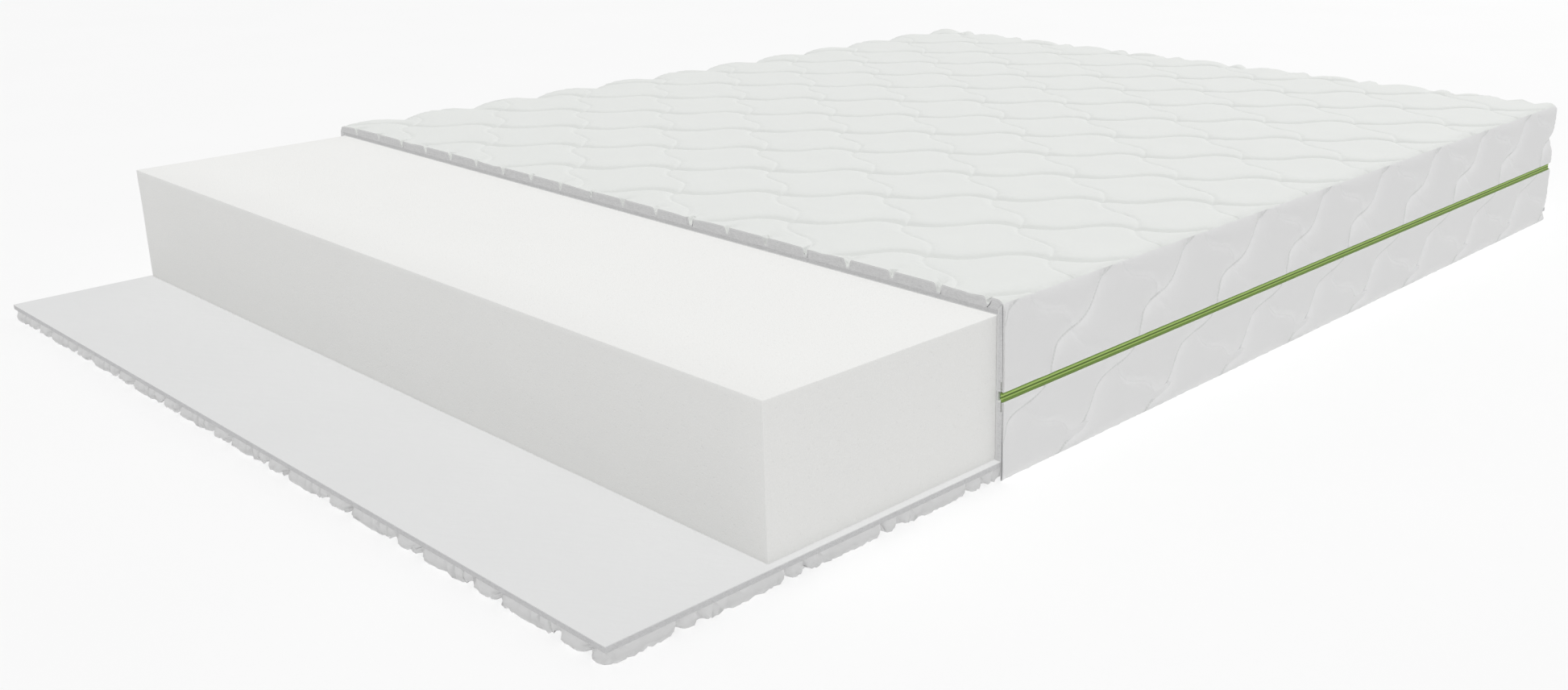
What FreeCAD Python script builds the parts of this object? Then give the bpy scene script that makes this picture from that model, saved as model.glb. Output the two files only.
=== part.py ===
import FreeCAD, Part
import math
import os
import Sketcher

# A memory foam mattress in its zipped cover, 140 by 200 cm, as a cutaway: the cover's border and
# upper panel stop at a cut plane, and the foam block and the lower panel run on past it.
# Millimetres. X is the width, Y the length with the open end at -Y, Z up.
# The origin is the centre of the underside.

# Each driving size: value and meaning.
SIZES = {
    "mattress_width": (1400, "over the border"),
    "mattress_length": (2000, "from the lower panel's open end to the border's far face"),
    "corner_radius": (15, "of the border's outer face, seen from above"),
    "core_height": (164, "of the foam block"),
    "core_setback": (192, "from the open end to the foam's near face"),
    "cut_setback": (521, "from the open end to the plane where the border and upper panel stop"),
    "core_clearance": (0.3, "all round the foam block"),
    "border_thickness": (12, "from the foam's face to the border's outer face"),
    "panel_inset": (4, "of the lower panel's edge inside the border's outer face"),
    "fabric_thickness": (1.2, "knitted face fabric"),
    "lining_thickness": (0.8, "inner lining"),
    "bottom_wadding_height": (14.6, "quilted wadding of the lower panel"),
    "bottom_pad_height": (6, "flat pad of the lower panel"),
    "top_pad_height": (10, "flat pad of the upper panel"),
    "top_wadding_height": (5.8, "quilted wadding of the upper panel"),
    "zip_height": (97, "middle of the zip above the underside"),
    "zip_channel": (11.5, "clear height between the two borders' turned edges"),
    "tape_width": (16.2, "each zip tape"),
    "tape_thickness": (0.8, "each zip tape"),
    "tape_gap": (1.6, "between the two tapes and between the two coils"),
    "coil_width": (2.2, "of one coil, up the tape"),
    "coil_depth": (2.4, "of one coil, behind the tape"),
    "guard_thickness": (2, "of the flap that keeps the zip off the foam"),
    "guard_clearance": (0.3, "between that flap and the upper border"),
    "stitch_size": (0.5, "thickness of the stitched line that holds a tape"),
    "park_offset": (140, "from the border's left face to the middle of the parked slider"),
    "park_gap": (30, "length of the stretch without coils where the slider parks"),
    "stop_length": (3, "of an end stop along the zip"),
    "slider_length": (12, "of the slider's plates along the zip"),
    "slider_width": (9, "of the slider's plates across the zip"),
    "slider_clearance": (0.3, "between the slider and the tapes and coils"),
    "plate_thickness": (1, "of each slider plate"),
    "nose_radius": (3, "plate corners at the slider's leading end"),
    "tail_radius": (1.5, "plate corners at the slider's trailing end"),
    "flange_width": (1, "of the rims on the slider's back plate"),
    "bridge_length": (4, "of the wedge that joins the slider's plates"),
    "bridge_setback": (1, "of that wedge from the leading end"),
    "lug_length": (7, "of the eye on the slider's front plate"),
    "lug_width": (1.6, "of that eye"),
    "lug_height": (2.75, "of that eye"),
    "lug_radius": (1.2, "of that eye's upper corners"),
    "pivot_height": (1.2, "of the pull's axis above the front plate"),
    "pivot_diameter": (1, "of the pull's crossbar"),
    "pivot_clearance": (0.25, "round the crossbar in its eye"),
    "eye_clearance": (0.3, "between the pull's arms and the eye's sides"),
    "eye_length": (4.3, "from the pull's axis to the end of its slot"),
    "pull_length": (24, "from its axis to its free end"),
    "pull_width": (7, "of the pull tab"),
    "pull_thickness": (1, "of the pull tab"),
    "pull_round": (3, "corners of the pull's free end"),
    "pull_hole": (2.4, "diameter of the hole near the pull's free end"),
    "pull_hole_inset": (4, "from the free end to that hole's centre"),
}

# Places in the plan, as expressions on the sheet.
SIDE = "Sizes.mattress_width / 2"
END = "Sizes.mattress_length / 2"
CORE_SIDE = "Sizes.mattress_width / 2 - Sizes.border_thickness"
CORE_END = "Sizes.mattress_length / 2 - Sizes.border_thickness"
CUT_PLANE = "Sizes.cut_setback - Sizes.mattress_length / 2"
CORE_FRONT = "Sizes.core_setback - Sizes.mattress_length / 2"
PARK_PLACE = "Sizes.park_offset - Sizes.mattress_width / 2"

# Distances outward from the foam's face.
LINING_IN = "Sizes.core_clearance"
WADDING_IN = "Sizes.core_clearance + Sizes.lining_thickness"
WADDING_OUT = "Sizes.border_thickness - Sizes.fabric_thickness"
PANEL_EDGE = "Sizes.border_thickness - Sizes.panel_inset"
FABRIC_OUT = "Sizes.border_thickness"
GUARD_OUT = WADDING_IN + " + Sizes.guard_thickness"
BACK_PLATE_IN = GUARD_OUT + " + Sizes.slider_clearance"
BACK_PLATE_OUT = BACK_PLATE_IN + " + Sizes.plate_thickness"
COIL_IN = BACK_PLATE_OUT + " + Sizes.slider_clearance"
TAPE_IN = COIL_IN + " + Sizes.coil_depth"
TAPE_OUT = TAPE_IN + " + Sizes.tape_thickness"
STITCH_IN = TAPE_IN + " - Sizes.stitch_size"
FRONT_PLATE_IN = TAPE_OUT + " + Sizes.slider_clearance"
FRONT_PLATE_OUT = FRONT_PLATE_IN + " + Sizes.plate_thickness"
PIVOT = FRONT_PLATE_OUT + " + Sizes.pivot_height"

# Heights above the underside.
BOTTOM_WADDING_LOW = "Sizes.fabric_thickness"
BOTTOM_PAD_LOW = BOTTOM_WADDING_LOW + " + Sizes.bottom_wadding_height"
BOTTOM_LINING_LOW = BOTTOM_PAD_LOW + " + Sizes.bottom_pad_height"
PANEL_TOP = BOTTOM_LINING_LOW + " + Sizes.lining_thickness"
CORE_LOW = PANEL_TOP + " + Sizes.core_clearance"
CORE_TOP = CORE_LOW + " + Sizes.core_height"
TOP_LINING_LOW = CORE_TOP + " + Sizes.core_clearance"
TOP_PAD_LOW = TOP_LINING_LOW + " + Sizes.lining_thickness"
TOP_WADDING_LOW = TOP_PAD_LOW + " + Sizes.top_pad_height"
TOP_FABRIC_LOW = TOP_WADDING_LOW + " + Sizes.top_wadding_height"
TOP = TOP_FABRIC_LOW + " + Sizes.fabric_thickness"

# Distances from the middle of the zip, the same for the lower border below it and the upper one above.
HEM_EDGE = "Sizes.zip_channel / 2"
HEM_FOLD = "Sizes.zip_channel / 2 + Sizes.fabric_thickness"
TAPE_EDGE = "Sizes.tape_gap / 2"
TAPE_ROOT = "Sizes.tape_gap / 2 + Sizes.tape_width"
COIL_ROOT = "Sizes.tape_gap / 2 + Sizes.coil_width"
STITCH_NEAR = "Sizes.slider_width / 2 + Sizes.slider_clearance"
STITCH_FAR = STITCH_NEAR + " + Sizes.stitch_size"
GUARD_ROOT = STITCH_FAR + " + Sizes.slider_clearance"

PLAN = "XY_Plane"
FRONT = "XZ_Plane"
SHARP = None

document = FreeCAD.newDocument("Mattress")
sheet = document.addObject("Spreadsheet::Sheet", "Sizes")
subparts = []


def fill_sheet():
    """Writes one row for each driving size: its meaning, and its value under an alias."""
    for row, (alias, (value, meaning)) in enumerate(SIZES.items(), start=1):
        sheet.set(f"A{row}", f"{alias}: {meaning}")
        sheet.set(f"B{row}", str(value))
        sheet.setAlias(f"B{row}", alias)
    document.recompute()


def number(expression):
    """What an expression on the sheet comes to, in millimetres."""
    return float(sheet.evalExpression(expression))


def new_body(label):
    """A new sub-part; its label names its file."""
    body = document.addObject("PartDesign::Body", label)
    body.Label = label
    return body


def new_sketch(body, name, plane, offset):
    """A sketch on one of the body's own origin planes, moved along +Z (plan) or +Y (front)."""
    sketch = body.newObject("Sketcher::SketchObject", name)
    support = next(f for f in body.Origin.OriginFeatures if f.Role == plane)
    sketch.AttachmentSupport = (support, [""])
    sketch.MapMode = "FlatFace"
    # the front plane's normal is -Y, so its offset is turned round
    sketch.setExpression("AttachmentOffset.Base.z", offset if plane == PLAN else f"-({offset})")
    return sketch


def pin_down(sketch, kind, geometry, point, expression):
    """Ties a point's distance from the sketch's origin, along X or Y, to the sheet."""
    value = number(expression)
    if value < 0:
        index = sketch.addConstraint(Sketcher.Constraint(kind, geometry, point, -1, 1, -value))
        sketch.setExpression(f"Constraints[{index}]", f"-({expression})")
    else:
        index = sketch.addConstraint(Sketcher.Constraint(kind, -1, 1, geometry, point, value))
        sketch.setExpression(f"Constraints[{index}]", expression)


def round_corner(sketch, before, after, corner, travel, radius):
    """Joins two sides with an arc that is tangent to both."""
    size = number(radius)
    centre = corner - travel[0] * size + travel[1] * size
    leaves = corner - travel[0] * size - centre
    arrives = corner + travel[1] * size - centre
    anticlockwise = travel[0].cross(travel[1]).z > 0
    first, last = (leaves, arrives) if anticlockwise else (arrives, leaves)
    begin = math.atan2(first.y, first.x)
    finish = math.atan2(last.y, last.x)
    if finish < begin:
        finish += 2 * math.pi
    circle = Part.Circle(centre, FreeCAD.Vector(0, 0, 1), size)
    arc = sketch.addGeometry(Part.ArcOfCircle(circle, begin, finish), False)
    near, far = (1, 2) if anticlockwise else (2, 1)
    sketch.addConstraint(Sketcher.Constraint("Tangent", before, 2, arc, near))
    sketch.addConstraint(Sketcher.Constraint("Tangent", arc, far, after, 1))
    index = sketch.addConstraint(Sketcher.Constraint("Radius", arc, size))
    sketch.setExpression(f"Constraints[{index}]", radius)


def outline(sketch, sides):
    """Draws a closed outline of upright and level sides.

    Each side is (axis, place, corner): "x" for an upright side at that X, "y" for a level one at
    that Y, and the radius between it and the next side, or SHARP."""
    count = len(sides)
    places = [number(place) for _, place, _ in sides]
    corners = []
    for i, (axis, _, _) in enumerate(sides):
        here, there = places[i], places[(i + 1) % count]
        corners.append(FreeCAD.Vector(here, there, 0) if axis == "x" else FreeCAD.Vector(there, here, 0))
    travels = [(corners[i] - corners[i - 1]).normalize() for i in range(count)]
    rounds = [0.0 if corner is SHARP else number(corner) for _, _, corner in sides]
    lines = []
    for i, (axis, place, _) in enumerate(sides):
        start = corners[i - 1] + travels[i] * rounds[i - 1]
        stop = corners[i] - travels[i] * rounds[i]
        line = sketch.addGeometry(Part.LineSegment(start, stop), False)
        sketch.addConstraint(Sketcher.Constraint("Vertical" if axis == "x" else "Horizontal", line))
        pin_down(sketch, "DistanceX" if axis == "x" else "DistanceY", line, 1, place)
        lines.append(line)
    for i, (_, _, corner) in enumerate(sides):
        j = (i + 1) % count
        if corner is SHARP:
            sketch.addConstraint(Sketcher.Constraint("Coincident", lines[i], 2, lines[j], 1))
        else:
            round_corner(sketch, lines[i], lines[j], corners[i], (travels[i], travels[j]), corner)


def circle(sketch, along, up, diameter):
    """Adds a circle whose centre and diameter follow the sheet."""
    centre = FreeCAD.Vector(number(along), number(up), 0)
    shape = Part.Circle(centre, FreeCAD.Vector(0, 0, 1), number(diameter) / 2)
    ring = sketch.addGeometry(shape, False)
    pin_down(sketch, "DistanceX", ring, 3, along)
    pin_down(sketch, "DistanceY", ring, 3, up)
    index = sketch.addConstraint(Sketcher.Constraint("Diameter", ring, number(diameter)))
    sketch.setExpression(f"Constraints[{index}]", diameter)


def pad(body, sketch, depth):
    """Pads a sketch towards +Z (plan) or +Y (front)."""
    feature = body.newObject("PartDesign::Pad", sketch.Name + "_pad")
    feature.Profile = sketch
    feature.setExpression("Length", depth)
    feature.Reversed = sketch.AttachmentSupport[0][0].Role == FRONT


def layer(body, name, sides, low, high, plane=PLAN):
    """Pads an outline from one height, or depth, to another."""
    sketch = new_sketch(body, f"{body.Name}_{name}", plane, low)
    outline(sketch, sides)
    pad(body, sketch, f"({high}) - ({low})")


def slab_sides(inset, near):
    """A panel seen from above: square at its near end, round at its far corners."""
    radius = f"Sizes.corner_radius - ({inset})"
    return [
        ("x", f"{SIDE} - ({inset})", radius),
        ("y", f"{END} - ({inset})", radius),
        ("x", f"-({SIDE}) + ({inset})", SHARP),
        ("y", near, SHARP),
    ]


def wall_sides(inner, outer):
    """A wall seen from above: up the right side, across the far end and down the left side.

    inner and outer are its faces' distances outward from the foam."""
    across = [f"{CORE_SIDE} + {distance}" for distance in (inner, outer)]
    along = [f"{CORE_END} + {distance}" for distance in (inner, outer)]
    radii = [f"Sizes.corner_radius - Sizes.border_thickness + {d}" for d in (inner, outer)]
    return [
        ("y", CUT_PLANE, SHARP),
        ("x", across[1], radii[1]),
        ("y", along[1], radii[1]),
        ("x", f"-({across[1]})", SHARP),
        ("y", CUT_PLANE, SHARP),
        ("x", f"-({across[0]})", radii[0]),
        ("y", along[0], radii[0]),
        ("x", across[0], SHARP),
    ]


def slab(label, inset, near, low, high):
    """One flat layer of a panel."""
    body = new_body(label)
    layer(body, "plan", slab_sides(inset, near), low, high)
    subparts.append(body)


def wall(label, *stretches):
    """A wall of one or more stretches, each (name, inner face, outer face, low, high)."""
    body = new_body(label)
    for name, inner, outer, low, high in stretches:
        layer(body, name, wall_sides(inner, outer), low, high)
    subparts.append(body)
    return body


def level(half, sign):
    """A height that lies below (-1) or above (+1) the middle of the zip."""
    return f"Sizes.zip_height {'+' if sign > 0 else '-'} ({half})"


def span(near, far, sign):
    """A stretch of height beside the zip, lowest first."""
    ends = [level(near, sign), level(far, sign)]
    return ends if sign > 0 else ends[::-1]


def make_lower_panel():
    """Face fabric, quilted wadding, flat pad and lining, from the floor up."""
    near = f"-({END})"
    slab("bottom_face_fabric", "Sizes.panel_inset", near, "0", BOTTOM_WADDING_LOW)
    slab("bottom_wadding", "Sizes.panel_inset", near, BOTTOM_WADDING_LOW, BOTTOM_PAD_LOW)
    slab("bottom_pad", "Sizes.panel_inset", near, BOTTOM_PAD_LOW, BOTTOM_LINING_LOW)
    slab("bottom_lining", "Sizes.panel_inset", near, BOTTOM_LINING_LOW, PANEL_TOP)


def make_upper_panel():
    """Lining, flat pad, quilted wadding and face fabric, from the foam up."""
    slab("top_lining", "0", CUT_PLANE, TOP_LINING_LOW, TOP_PAD_LOW)
    slab("top_pad", "0", CUT_PLANE, TOP_PAD_LOW, TOP_WADDING_LOW)
    slab("top_wadding", "0", CUT_PLANE, TOP_WADDING_LOW, TOP_FABRIC_LOW)
    slab("top_face_fabric", "0", CUT_PLANE, TOP_FABRIC_LOW, TOP)


def make_core():
    """The foam block: its far corners follow the border's inside."""
    body = new_body("foam_core")
    sides = slab_sides("Sizes.border_thickness", CORE_FRONT)
    layer(body, "plan", sides, CORE_LOW, CORE_TOP)
    subparts.append(body)


def make_lower_border():
    """Lining, wadding and face fabric of the border below the zip, and the flap behind the zip.

    The wadding thins beside the panel's edge and splits round the tape, and the fabric's upper
    edge turns in over it."""
    root = level(TAPE_ROOT, -1)
    fold = level(HEM_FOLD, -1)
    edge = level(HEM_EDGE, -1)
    inner_edge = level(GUARD_ROOT, -1)
    wall("lower_border_lining", ("wall", LINING_IN, WADDING_IN, PANEL_TOP, inner_edge))
    wall(
        "lower_border_wadding",
        ("foot", PANEL_EDGE, WADDING_OUT, BOTTOM_WADDING_LOW, PANEL_TOP),
        ("middle", WADDING_IN, WADDING_OUT, PANEL_TOP, root),
        ("back", WADDING_IN, TAPE_IN, root, inner_edge),
        ("lip", TAPE_OUT, WADDING_OUT, root, fold),
    )
    guard_top = level(GUARD_ROOT, 1) + " - Sizes.guard_clearance"
    wall("zip_guard", ("wall", WADDING_IN, GUARD_OUT, inner_edge, guard_top))
    wall(
        "lower_border_fabric",
        ("face", WADDING_OUT, FABRIC_OUT, BOTTOM_WADDING_LOW, fold),
        ("hem", TAPE_OUT, FABRIC_OUT, fold, edge),
    )


def make_upper_border():
    """Lining, wadding and face fabric of the border above the zip, up to the upper panel."""
    root = level(TAPE_ROOT, 1)
    fold = level(HEM_FOLD, 1)
    edge = level(HEM_EDGE, 1)
    inner_edge = level(GUARD_ROOT, 1)
    wall("upper_border_lining", ("wall", LINING_IN, WADDING_IN, inner_edge, TOP_LINING_LOW))
    wall(
        "upper_border_wadding",
        ("middle", WADDING_IN, WADDING_OUT, root, TOP_LINING_LOW),
        ("back", WADDING_IN, TAPE_IN, inner_edge, root),
        ("lip", TAPE_OUT, WADDING_OUT, fold, root),
    )
    wall(
        "upper_border_fabric",
        ("hem", TAPE_OUT, FABRIC_OUT, edge, fold),
        ("face", WADDING_OUT, FABRIC_OUT, fold, TOP_LINING_LOW),
    )


def make_coil(label, sign):
    """A coil along its tape's edge, with the stretch left out where the slider parks."""
    run = new_body(label + "_run")
    low, high = span(TAPE_EDGE, COIL_ROOT, sign)
    layer(run, "wall", wall_sides(COIL_IN, TAPE_IN), low, high)
    gap = document.addObject("Part::Box", label + "_gap")
    gap.setExpression("Length", "Sizes.park_gap")
    gap.setExpression("Width", "Sizes.border_thickness")
    gap.setExpression("Height", f"({high}) - ({low})")
    gap.setExpression("Placement.Base.x", f"{PARK_PLACE} - Sizes.park_gap / 2")
    gap.setExpression("Placement.Base.y", CORE_END)
    gap.setExpression("Placement.Base.z", low)
    coil = document.addObject("Part::Cut", label)
    coil.Base = run
    coil.Tool = gap
    coil.Label = label
    subparts.append(coil)


def make_stop(label, sign):
    """A stop clamped behind the tape, at the end of the parking stretch away from the run."""
    low, high = span(TAPE_EDGE, COIL_ROOT, sign)
    stop = document.addObject("Part::Box", label)
    stop.setExpression("Length", "Sizes.stop_length")
    stop.setExpression("Width", "Sizes.coil_depth")
    stop.setExpression("Height", "Sizes.coil_width")
    stop.setExpression("Placement.Base.x", f"{PARK_PLACE} - Sizes.park_gap / 2")
    stop.setExpression("Placement.Base.y", f"{CORE_END} + {COIL_IN}")
    stop.setExpression("Placement.Base.z", low)
    stop.Label = label
    subparts.append(stop)


def make_zip_half(name, sign):
    """Tape, coil, end stop and stitched line of one half of the zip."""
    wall(f"{name}_zip_tape", ("wall", TAPE_IN, TAPE_OUT, *span(TAPE_EDGE, TAPE_ROOT, sign)))
    make_coil(f"{name}_zip_coil", sign)
    make_stop(f"{name}_zip_stop", sign)
    wall(f"{name}_zip_stitching", ("wall", STITCH_IN, TAPE_IN, *span(STITCH_NEAR, STITCH_FAR, sign)))


def stand_at_zip(body, depth):
    """Stands a body in the middle of the parking stretch, its origin that far outside the foam."""
    body.setExpression("Placement.Base.x", PARK_PLACE)
    body.setExpression("Placement.Base.y", f"{CORE_END} + {depth}")
    body.setExpression("Placement.Base.z", "Sizes.zip_height")


def make_slider():
    """The slider: a rimmed back plate behind the coils, a front plate, the wedge between them and
    an eye for the pull. Its own Y is the distance outward from the foam."""
    body = new_body("zip_slider")
    long_half = "Sizes.slider_length / 2"
    wide_half = "Sizes.slider_width / 2"
    plate = [
        ("x", long_half, "Sizes.nose_radius"),
        ("y", wide_half, "Sizes.tail_radius"),
        ("x", f"-{long_half}", "Sizes.tail_radius"),
        ("y", f"-{wide_half}", "Sizes.nose_radius"),
    ]
    rim = [
        ("x", f"{long_half} - Sizes.nose_radius", SHARP),
        ("y", wide_half, SHARP),
        ("x", f"-{long_half} + Sizes.tail_radius", SHARP),
        ("y", f"{wide_half} - Sizes.flange_width", SHARP),
    ]
    wedge_half = "Sizes.tape_gap / 2 - Sizes.slider_clearance"
    wedge = [
        ("x", f"{long_half} - Sizes.bridge_setback", SHARP),
        ("y", wedge_half, SHARP),
        ("x", f"{long_half} - Sizes.bridge_setback - Sizes.bridge_length", SHARP),
        ("y", f"-({wedge_half})", SHARP),
    ]
    mirrored_rim = [(axis, f"-({place})" if axis == "y" else place, SHARP) for axis, place, _ in rim]
    rim_out = f"{TAPE_IN} - Sizes.slider_clearance"
    layer(body, "back_plate", plate, BACK_PLATE_IN, BACK_PLATE_OUT, FRONT)
    layer(body, "upper_rim", rim, BACK_PLATE_OUT, rim_out, FRONT)
    layer(body, "lower_rim", mirrored_rim, BACK_PLATE_OUT, rim_out, FRONT)
    layer(body, "wedge", wedge, BACK_PLATE_OUT, FRONT_PLATE_IN, FRONT)
    layer(body, "front_plate", plate, FRONT_PLATE_IN, FRONT_PLATE_OUT, FRONT)
    lug = [
        ("x", "Sizes.lug_length / 2", "Sizes.lug_radius"),
        ("y", f"{FRONT_PLATE_OUT} + Sizes.lug_height", "Sizes.lug_radius"),
        ("x", "-Sizes.lug_length / 2", SHARP),
        ("y", FRONT_PLATE_OUT, SHARP),
    ]
    sketch = new_sketch(body, "zip_slider_eye", PLAN, "-Sizes.lug_width / 2")
    outline(sketch, lug)
    circle(sketch, "0", PIVOT, "Sizes.pivot_diameter + 2 * Sizes.pivot_clearance")
    pad(body, sketch, "Sizes.lug_width")
    stand_at_zip(body, "0")
    subparts.append(body)


def make_pull():
    """The pull: a forked tab whose round crossbar turns in the slider's eye, lying towards -X.
    Its own origin is on the crossbar's axis."""
    body = new_body("zip_pull")
    arm_end = "Sizes.pivot_diameter / 2"
    slot_half = "Sizes.lug_width / 2 + Sizes.eye_clearance"
    half = "Sizes.pull_width / 2"
    fork = [
        ("x", arm_end, SHARP),
        ("y", half, "Sizes.pull_round"),
        ("x", "-Sizes.pull_length", "Sizes.pull_round"),
        ("y", f"-{half}", SHARP),
        ("x", arm_end, SHARP),
        ("y", f"-({slot_half})", SHARP),
        ("x", "-Sizes.eye_length", SHARP),
        ("y", slot_half, SHARP),
    ]
    sketch = new_sketch(body, "zip_pull_tab", FRONT, "-Sizes.pull_thickness / 2")
    outline(sketch, fork)
    circle(sketch, "-Sizes.pull_length + Sizes.pull_hole_inset", "0", "Sizes.pull_hole")
    pad(body, sketch, "Sizes.pull_thickness")
    crossbar = new_sketch(body, "zip_pull_crossbar", PLAN, f"-({slot_half})")
    circle(crossbar, "0", "0", "Sizes.pivot_diameter")
    pad(body, crossbar, f"2 * ({slot_half})")
    stand_at_zip(body, PIVOT)
    subparts.append(body)


def check_and_export():
    """Stops on any failed object or bad shape, then writes one STEP file for each sub-part."""
    document.recompute()
    for item in document.Objects:
        if "Invalid" in item.State or "Error" in item.State:
            raise RuntimeError(f"{item.Label} didn't rebuild: {item.State}")
    for item in subparts:
        if item.Shape.isNull() or not item.Shape.isValid() or not item.Shape.Solids:
            raise RuntimeError(f"{item.Label} has no valid solid")
    os.makedirs("parts", exist_ok=True)
    for item in subparts:
        item.Shape.exportStep(f"parts/{item.Label}.step")
        print(f"{item.Label}: {len(item.Shape.Solids)} solid(s), {item.Shape.Volume:.0f} mm3")


fill_sheet()
make_lower_panel()
make_lower_border()
make_zip_half("lower", -1)
make_core()
make_upper_panel()
make_upper_border()
make_zip_half("upper", 1)
make_slider()
make_pull()
check_and_export()
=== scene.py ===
import math

import bmesh
import bpy
import numpy as np
from mathutils import Matrix, Vector


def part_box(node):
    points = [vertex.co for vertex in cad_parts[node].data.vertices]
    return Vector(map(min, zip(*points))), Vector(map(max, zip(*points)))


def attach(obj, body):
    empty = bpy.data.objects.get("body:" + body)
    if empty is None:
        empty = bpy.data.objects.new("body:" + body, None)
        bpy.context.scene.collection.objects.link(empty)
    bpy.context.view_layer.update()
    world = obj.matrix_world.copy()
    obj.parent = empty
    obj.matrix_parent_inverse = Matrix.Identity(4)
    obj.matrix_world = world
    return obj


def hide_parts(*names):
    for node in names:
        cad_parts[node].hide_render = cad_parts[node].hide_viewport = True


bl_info = {
    "name": "Memory Foam Mattress",
    "version": (1, 0, 0),
    "blender": (4, 5, 0),
    "location": "3D View > Sidebar > Mattress",
    "description": "Dresses the mattress frame: foam block, quilted cover, linings and zip",
    "category": "Object",
}

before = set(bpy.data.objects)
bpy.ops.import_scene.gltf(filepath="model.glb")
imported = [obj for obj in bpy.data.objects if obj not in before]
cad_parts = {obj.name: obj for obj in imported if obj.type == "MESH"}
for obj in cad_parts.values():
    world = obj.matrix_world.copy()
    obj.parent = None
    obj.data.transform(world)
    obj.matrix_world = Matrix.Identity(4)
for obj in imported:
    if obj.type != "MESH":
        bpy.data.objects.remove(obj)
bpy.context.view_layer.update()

# Places from the frame. Wall distances, called out, run outward from the foam's face.
FOAM_LOW, FOAM_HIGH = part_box("foam_core")
SKIN_LOW, SKIN_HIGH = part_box("top_face_fabric")
PAD_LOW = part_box("top_pad")[0]
PANEL_LOW, PANEL_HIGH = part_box("bottom_lining")
BASE_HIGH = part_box("bottom_wadding")[1]
FACE_X, FACE_Y = FOAM_HIGH.x, FOAM_HIGH.y
WALL = SKIN_HIGH.x - FACE_X
CUT = SKIN_LOW.y
TOP = SKIN_HIGH.z
LINING = PANEL_HIGH.z - PANEL_LOW.z
CLEARANCE = PAD_LOW.z - LINING - FOAM_HIGH.z
TAPE_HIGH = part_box("lower_zip_tape")[1]
ZIP_HEIGHT = (TAPE_HIGH.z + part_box("upper_zip_tape")[0].z) / 2
HEM_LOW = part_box("lower_border_fabric")[1].z
HEM_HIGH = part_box("upper_border_fabric")[0].z
TAPE_OUT = TAPE_HIGH.x - FACE_X
COIL_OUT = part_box("lower_zip_coil")[1].x - FACE_X
GUARD_LOW, GUARD_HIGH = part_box("zip_guard")
TINY = 1e-6


# ---------------------------------------------------------------- settings


def length(name, default, description):
    """A size in metres that a user may change."""
    return bpy.props.FloatProperty(
        name=name, description=description, default=default, min=0.0, precision=4, unit="LENGTH"
    )


def colour(name, default, description):
    """A colour that a user may change."""
    return bpy.props.FloatVectorProperty(
        name=name, description=description, default=default, size=3, min=0.0, max=1.0, subtype="COLOR"
    )


def quilt_sizes(**sizes):
    """The settings that every quilted piece has, with this piece's own sizes."""
    described = {
        "pitch_along": ("Pitch along", "Between pattern nodes along X, or along the wall"),
        "pitch_across": ("Pitch across", "Between pattern nodes along Y, or up the wall"),
        "swing": ("Swing", "How far each seam swings to a side of its straight line"),
        "seam_depth": ("Seam depth", "Of the through seams, from the puffs' crest"),
        "seam_width": ("Seam width", "Distance over which a through seam rises"),
        "crease_depth": ("Crease depth", "Of the light creases between the seams"),
        "crease_width": ("Crease width", "Distance over which a crease rises"),
        "edge_radius": ("Edge radius", "Of the panel's rounded edge"),
        "corner_radius": ("Corner radius", "Of the border's corners, seen from above"),
        "foot_radius": ("Foot radius", "Of the border's lower edge"),
    }
    return {key: length(described[key][0], size, described[key][1]) for key, size in sizes.items()}


class TopQuilt(bpy.types.PropertyGroup):
    """Stitched pattern and puff of the upper panel"""

    __annotations__ = quilt_sizes(
        pitch_along=0.226, pitch_across=0.170, swing=0.0115, seam_depth=0.0098, seam_width=0.0045,
        crease_depth=0.0030, crease_width=0.0055, edge_radius=WALL,
    )


class BorderQuilt(bpy.types.PropertyGroup):
    """Stitched pattern and puff of the border"""

    __annotations__ = quilt_sizes(
        pitch_along=0.1676, pitch_across=0.130, swing=0.0078, seam_depth=0.0080, seam_width=0.0078,
        crease_depth=0.0030, crease_width=0.0050, corner_radius=0.015, foot_radius=0.004,
    )


class UndersideQuilt(bpy.types.PropertyGroup):
    """Stitched pattern and puff of the lower panel"""

    __annotations__ = quilt_sizes(
        pitch_along=0.139, pitch_across=0.130, swing=0.006, seam_depth=0.0125, seam_width=0.0055,
        crease_depth=0.009, crease_width=0.0050, edge_radius=0.0045,
    )


class CoverLook(bpy.types.PropertyGroup):
    """Colours of the cover"""

    knit: colour("Knit", (0.785, 0.800, 0.780), "Face fabric of the upper panel")
    border_knit: colour("Border knit", (0.80, 0.80, 0.80), "Face fabric of the border")
    # The lower panel's knit is a darker copy of the border's knit: painted shade on the underside.
    shaded_under_knit: colour("Lower knit", (0.70, 0.70, 0.70), "Face fabric of the lower panel")
    lining: colour("Lining", (0.715, 0.718, 0.718), "Smooth inner lining")
    wadding: colour("Wadding", (0.69, 0.69, 0.695), "Cut edges of the wadding")
    pad: colour("Pad", (0.63, 0.63, 0.635), "Cut edges of the flat pads")
    # Darker than the knit: in the quilting seams it paints a line of shade along each groove. It is also the
    # colour of the zip's stitching.
    thread: colour("Thread", (0.66, 0.67, 0.66), "Quilting thread")


class FoamLook(bpy.types.PropertyGroup):
    """Colour and grain of the foam block"""

    foam: colour("Foam", (0.857, 0.857, 0.843), "Foam block")
    cell: length("Cell size", 0.0016, "Size of the foam's open cells")
    edge: length("Edge radius", 0.0008, "Of the block's cut edges")


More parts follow.
